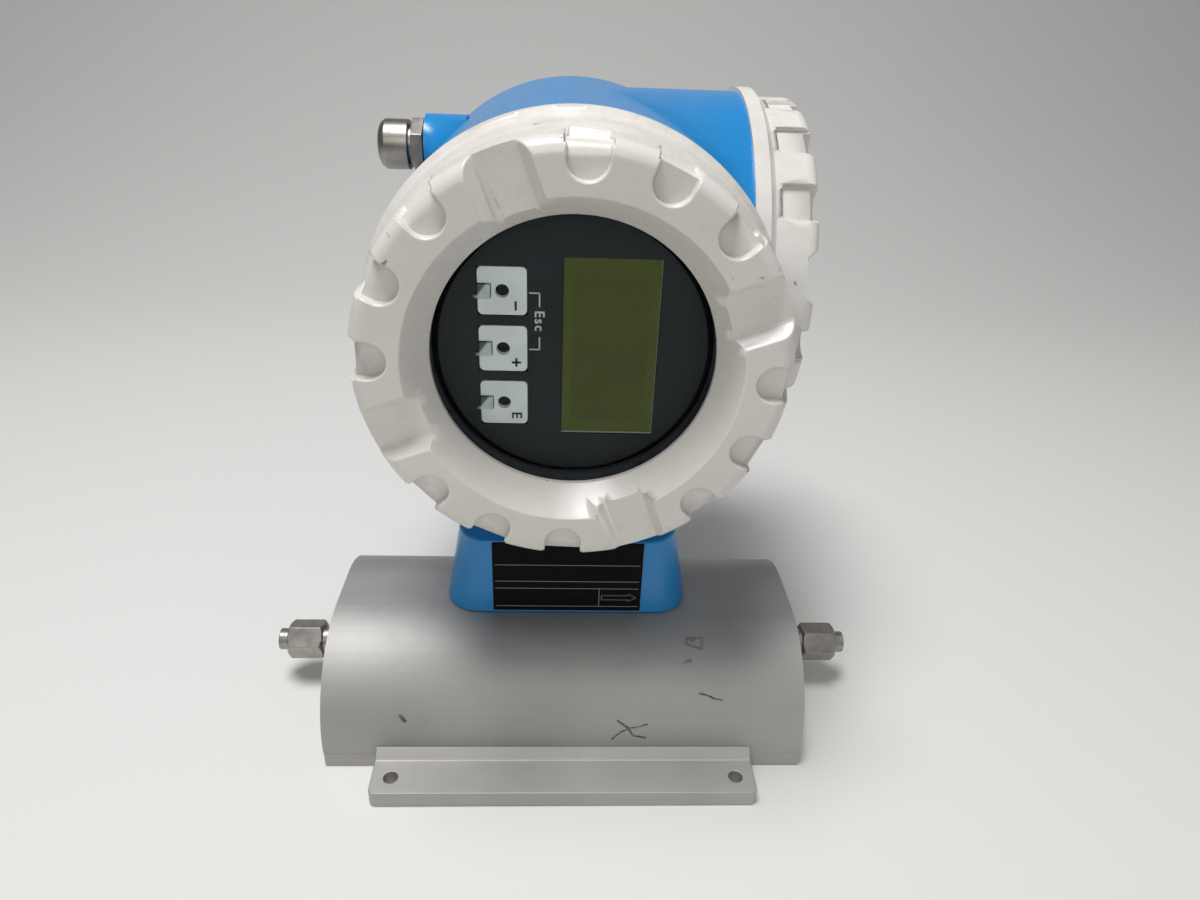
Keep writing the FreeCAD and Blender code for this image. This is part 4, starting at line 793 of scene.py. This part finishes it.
class FLOWMETER_OT_covers(bpy.types.Operator):
    """Dress the scalloped covers and the window"""

    bl_idname = "flow_meter.covers"
    bl_label = "Covers"

    def execute(self, context):
        white = colours().coat_white
        scuffs = (
            (((0.058, 0.035), (0.076, 0.041)), 0.0008, 0.5),
            (((0.049, 0.040), (0.053, 0.036)), 0.0006, 0.45),
            (((-0.030, 0.066), (-0.024, 0.052)), 0.0006, 0.4),
        )
        smoothed("front_cover", cover_coat("front_cover_coat", white, False, FRONT_TURN, scuffs))
        smoothed("terminal_cover", cover_coat("terminal_cover_coat", white, True, SIDE_TURN, ()))
        dress_nodes(window_pane("window_pane"), "window_glass")
        # The retainer's tone is three times the bezel's: painted reflection haze of the window in front of
        # it.
        dress_nodes(moulded("retainer_black_painted_haze", shade(colours().bezel, 3.0), 0.42), "glass_retainer")
        return {"FINISHED"}


class FLOWMETER_OT_display(bpy.types.Operator):
    """Dress the display and print its key legends"""

    bl_idname = "flow_meter.display"
    bl_label = "Display"

    def execute(self, context):
        dress_nodes(moulded("bezel_black", colours().bezel, 0.45, 1200.0, 0.28), "display_bezel")
        dark = moulded("body_black", shade(colours().bezel, 0.19), 0.5)
        dress_nodes(dark, "display_body", "display_holder", "board_carrier")
        dress_nodes(screen_film("screen_film", colours().screen), "lcd_panel")
        softened("key_pads", sizes().small_edge, moulded("key_plastic", colours().keys, 0.36, 1500.0))
        clear = light_guide("prism_plastic", (0.60, 0.64, 0.66))
        softened("key_prisms", sizes().small_edge, clear)
        self.feet(clear)
        dress_nodes(moulded("display_laminate", (0.006, 0.006, 0.007), 0.6), "display_board")
        self.legends()
        return {"FINISHED"}

    def legends(self):
        dark = ink("legend_dark", (0.02, 0.021, 0.024))
        pale = ink("legend_pale", (0.70, 0.72, 0.74))
        size = sizes().legend_size
        lift = sizes().print_height
        column, row = KEY_HIGH.x - 0.0042, AXIS_HEIGHT - 0.0055
        arm, thick = size * 0.31, size * 0.075
        minus = (column - thick, row + KEY_PITCH - arm, column + thick, row + KEY_PITCH + arm)
        plus = ((column - thick, row - arm, column + thick, row + arm),
                (column - arm, row - thick, column + arm, row + thick))
        front_strips("legend_minus", (minus,), KEY_FRONT, lift, dark, "display")
        front_strips("legend_plus", plus, KEY_FRONT, lift, dark, "display")
        front_text("legend_enter", "E", size, (column, row - KEY_PITCH), KEY_FRONT - lift, dark, "display")
        beside = (KEY_HIGH.x + 0.0046, AXIS_HEIGHT + KEY_PITCH / 2)
        front_text("legend_escape", "Esc", size * 0.92, beside, BEZEL_FRONT - lift, pale, "display")
        thin = 0.0005
        left, right = KEY_HIGH.x + 0.0007, KEY_HIGH.x + 0.0048
        high, low = AXIS_HEIGHT + KEY_PITCH - 0.0002, AXIS_HEIGHT - 0.0003
        bracket = (
            (left, high - thin, right, high), (right - thin, high - 0.0055, right, high),
            (left, low, right, low + thin), (right - thin, low, right, low + 0.0052))
        front_strips("escape_bracket", bracket, BEZEL_FRONT, lift, pale, "display")

    def feet(self, material):
        """The prisms' feet, which reach out of the keys' slots."""
        reach, height = 0.0016, 0.0008
        rows = (AXIS_HEIGHT + level * KEY_PITCH for level in (-1, 0, 1))
        feet = [(KEY_LOW.x - reach, row - 0.0026, PRISM_LEFT, row - 0.0012) for row in rows]
        front_strips("prism_feet", feet, BEZEL_FRONT, height, material, "display")


class FLOWMETER_OT_nameplate(bpy.types.Operator):
    """Dress the bare nameplate and its ruled fields"""

    bl_idname = "flow_meter.nameplate"
    bl_label = "Nameplate"

    def execute(self, context):
        low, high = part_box("nameplate")
        tail, neck, tip = high.x - 0.0192, high.x - 0.0060, high.x - 0.0024
        level, half = low.z + 0.0081, 0.0013
        barb = half * 1.7
        arrow = ((tail, level - half), (tail, level + half), (neck, level + half), (neck, level + barb),
                 (tip, level), (neck, level - barb), (neck, level - half), (tail, level - half))
        softened("nameplate", sizes().small_edge, printed_plate("plate_black", (0.004, 0.004, 0.0045), arrow))
        thin, margin = 0.00035, 0.0012
        left, right, box_left = low.x + margin, high.x - margin, high.x - 0.0206
        heights = [low.z + rise for rise in (0.0026, 0.0134, 0.0176, 0.0272)]
        rules = [(left, height, right, height + thin) for height in heights]
        rules.append((box_left, heights[0], box_left + thin, heights[1]))
        pale = ink("plate_rule", (0.20, 0.20, 0.205))
        front_strips("plate_rules", rules, low.y, sizes().print_height, pale, "sensor")
        return {"FINISHED"}


class FLOWMETER_OT_glands(bpy.types.Operator):
    """Dress the nickel-plated cable glands"""

    bl_idname = "flow_meter.glands"
    bl_label = "Cable Glands"

    def execute(self, context):
        plate = nickel_plate("nickel_plate", colours().nickel)
        for side in ("upper", "lower"):
            softened(side + "_gland_body", sizes().small_edge, plate)
            softened(side + "_gland_cap", sizes().steel_edge, plate, 3)
        return {"FINISHED"}


class FLOWMETER_OT_electronics(bpy.types.Operator):
    """Dress the boards and terminals inside the housing"""

    bl_idname = "flow_meter.electronics"
    bl_label = "Electronics"

    def execute(self, context):
        laminate = circuit_board("board_laminate", (0.025, 0.13, 0.06))
        dress_nodes(laminate, "power_board", "amplifier_board", "io_board")
        dress_nodes(moulded("spacer_nylon", (0.50, 0.50, 0.46), 0.5), "board_spacers")
        dress_nodes(moulded("terminal_plastic", (0.05, 0.20, 0.10), 0.45), "terminal_block")
        return {"FINISHED"}


class FLOWMETER_OT_stage(bpy.types.Operator):
    """Set the floor, the lights and the camera"""

    bl_idname = "flow_meter.stage"
    bl_label = "Stage"

    def execute(self, context):
        self.floor()
        self.world()
        for lamp in LAMPS:
            self.lamp(*lamp)
        self.camera()
        context.scene.view_settings.view_transform = "Standard"
        return {"FINISHED"}

    def floor(self):
        side, behind, under = 6.0, 1.8, 0.0002
        wall, cove = 3.0, 1.2
        clear_selection()
        bpy.ops.mesh.primitive_plane_add(size=side, location=(0, behind - side / 2, -under))
        floor = bpy.context.object
        floor.name = "stage_floor"
        bpy.ops.object.transform_apply(location=True, rotation=True, scale=True)
        bpy.ops.object.mode_set(mode="EDIT")
        bpy.ops.mesh.select_mode(type="EDGE")
        bpy.ops.mesh.select_all(action="DESELECT")
        bpy.ops.object.mode_set(mode="OBJECT")
        for edge in floor.data.edges:
            edge.select = all(floor.data.vertices[corner].co.y > 0 for corner in edge.vertices)
        bpy.ops.object.mode_set(mode="EDIT")
        bpy.ops.mesh.extrude_region_move(TRANSFORM_OT_translate={"value": (0.0, 0.0, wall)})
        bpy.ops.object.mode_set(mode="OBJECT")
        apply_modifier(floor, "BEVEL", width=cove, segments=24, limit_method="ANGLE",
                       angle_limit=math.radians(40))
        bpy.ops.object.shade_smooth()
        finish = Finish("stage_paper", {"Metallic": 0.0})
        grain = finish.noise(350.0, 3.0)
        tone = colours().floor
        finish.set("Base Color", finish.blend(grain, shade(tone, 0.99), shade(tone, 1.01)))
        finish.set("Roughness", 0.75 + grain * 0.1)
        dress(floor, finish.material)

    def world(self):
        world = bpy.data.worlds.new("studio")
        bpy.context.scene.world = world
        world.use_nodes = True
        background = world.node_tree.nodes["Background"]
        background.inputs["Color"].default_value = (0.80, 0.81, 0.82, 1.0)
        background.inputs["Strength"].default_value = WORLD_STRENGTH

    def lamp(self, name, at, aim, side, power):
        clear_selection()
        bpy.ops.object.light_add(type="AREA", location=at)
        lamp = bpy.context.object
        lamp.name = name
        lamp.data.shape = "SQUARE"
        lamp.data.size = side
        lamp.data.energy = power
        lamp.rotation_euler = (Vector(aim) - Vector(at)).to_track_quat("-Z", "Y").to_euler()

    def camera(self):
        clear_selection()
        bpy.ops.object.camera_add()
        camera = bpy.context.object
        camera.name = "photo_view"
        flat = math.cos(CAMERA_PITCH)
        ahead = Vector((math.sin(CAMERA_YAW) * flat, math.cos(CAMERA_YAW) * flat, -math.sin(CAMERA_PITCH)))
        level = Vector((math.cos(CAMERA_YAW), -math.sin(CAMERA_YAW), 0.0))
        over = level.cross(ahead)
        right = math.cos(CAMERA_ROLL) * level + math.sin(CAMERA_ROLL) * over
        up = math.cos(CAMERA_ROLL) * over - math.sin(CAMERA_ROLL) * level
        turn = Matrix((right, up, -ahead)).transposed().to_4x4()
        camera.matrix_world = Matrix.Translation(CAMERA_PLACE) @ turn
        camera.data.sensor_fit = "HORIZONTAL"
        camera.data.sensor_width = SENSOR_WIDTH
        camera.data.lens = FOCAL_PIXELS / PICTURE_PIXELS * SENSOR_WIDTH
        camera.data.clip_start = 0.01
        bpy.context.scene.camera = camera


class FLOWMETER_PT_panel(bpy.types.Panel):
    """Buttons for each group of pieces"""

    bl_idname = "FLOWMETER_PT_panel"
    bl_label = "Flow Meter"
    bl_space_type = "VIEW_3D"
    bl_region_type = "UI"
    bl_category = "Flow Meter"

    def draw(self, context):
        layout = self.layout
        for group in (context.scene.flow_meter_sizes, context.scene.flow_meter_colours):
            column = layout.column(align=True)
            for name in group.__annotations__:
                column.prop(group, name)
        for operator in STEPS:
            layout.operator(operator.bl_idname)


STEPS = (
    FLOWMETER_OT_sensor,
    FLOWMETER_OT_couplings,
    FLOWMETER_OT_measuring,
    FLOWMETER_OT_castings,
    FLOWMETER_OT_covers,
    FLOWMETER_OT_display,
    FLOWMETER_OT_nameplate,
    FLOWMETER_OT_glands,
    FLOWMETER_OT_electronics,
    FLOWMETER_OT_stage,
)
CLASSES = (FlowMeterSizes, FlowMeterColours) + STEPS + (FLOWMETER_PT_panel,)


def register():
    for item in CLASSES:
        bpy.utils.register_class(item)
    bpy.types.Scene.flow_meter_sizes = PointerProperty(type=FlowMeterSizes)
    bpy.types.Scene.flow_meter_colours = PointerProperty(type=FlowMeterColours)


def unregister():
    del bpy.types.Scene.flow_meter_colours
    del bpy.types.Scene.flow_meter_sizes
    for item in reversed(CLASSES):
        bpy.utils.unregister_class(item)


def main():
    register()
    for step in (bpy.ops.flow_meter.sensor, bpy.ops.flow_meter.couplings, bpy.ops.flow_meter.measuring,
                 bpy.ops.flow_meter.castings, bpy.ops.flow_meter.covers, bpy.ops.flow_meter.display,
                 bpy.ops.flow_meter.nameplate, bpy.ops.flow_meter.glands, bpy.ops.flow_meter.electronics,
                 bpy.ops.flow_meter.stage):
        step()
    clear_selection()


if __name__ == "__main__":
    main()
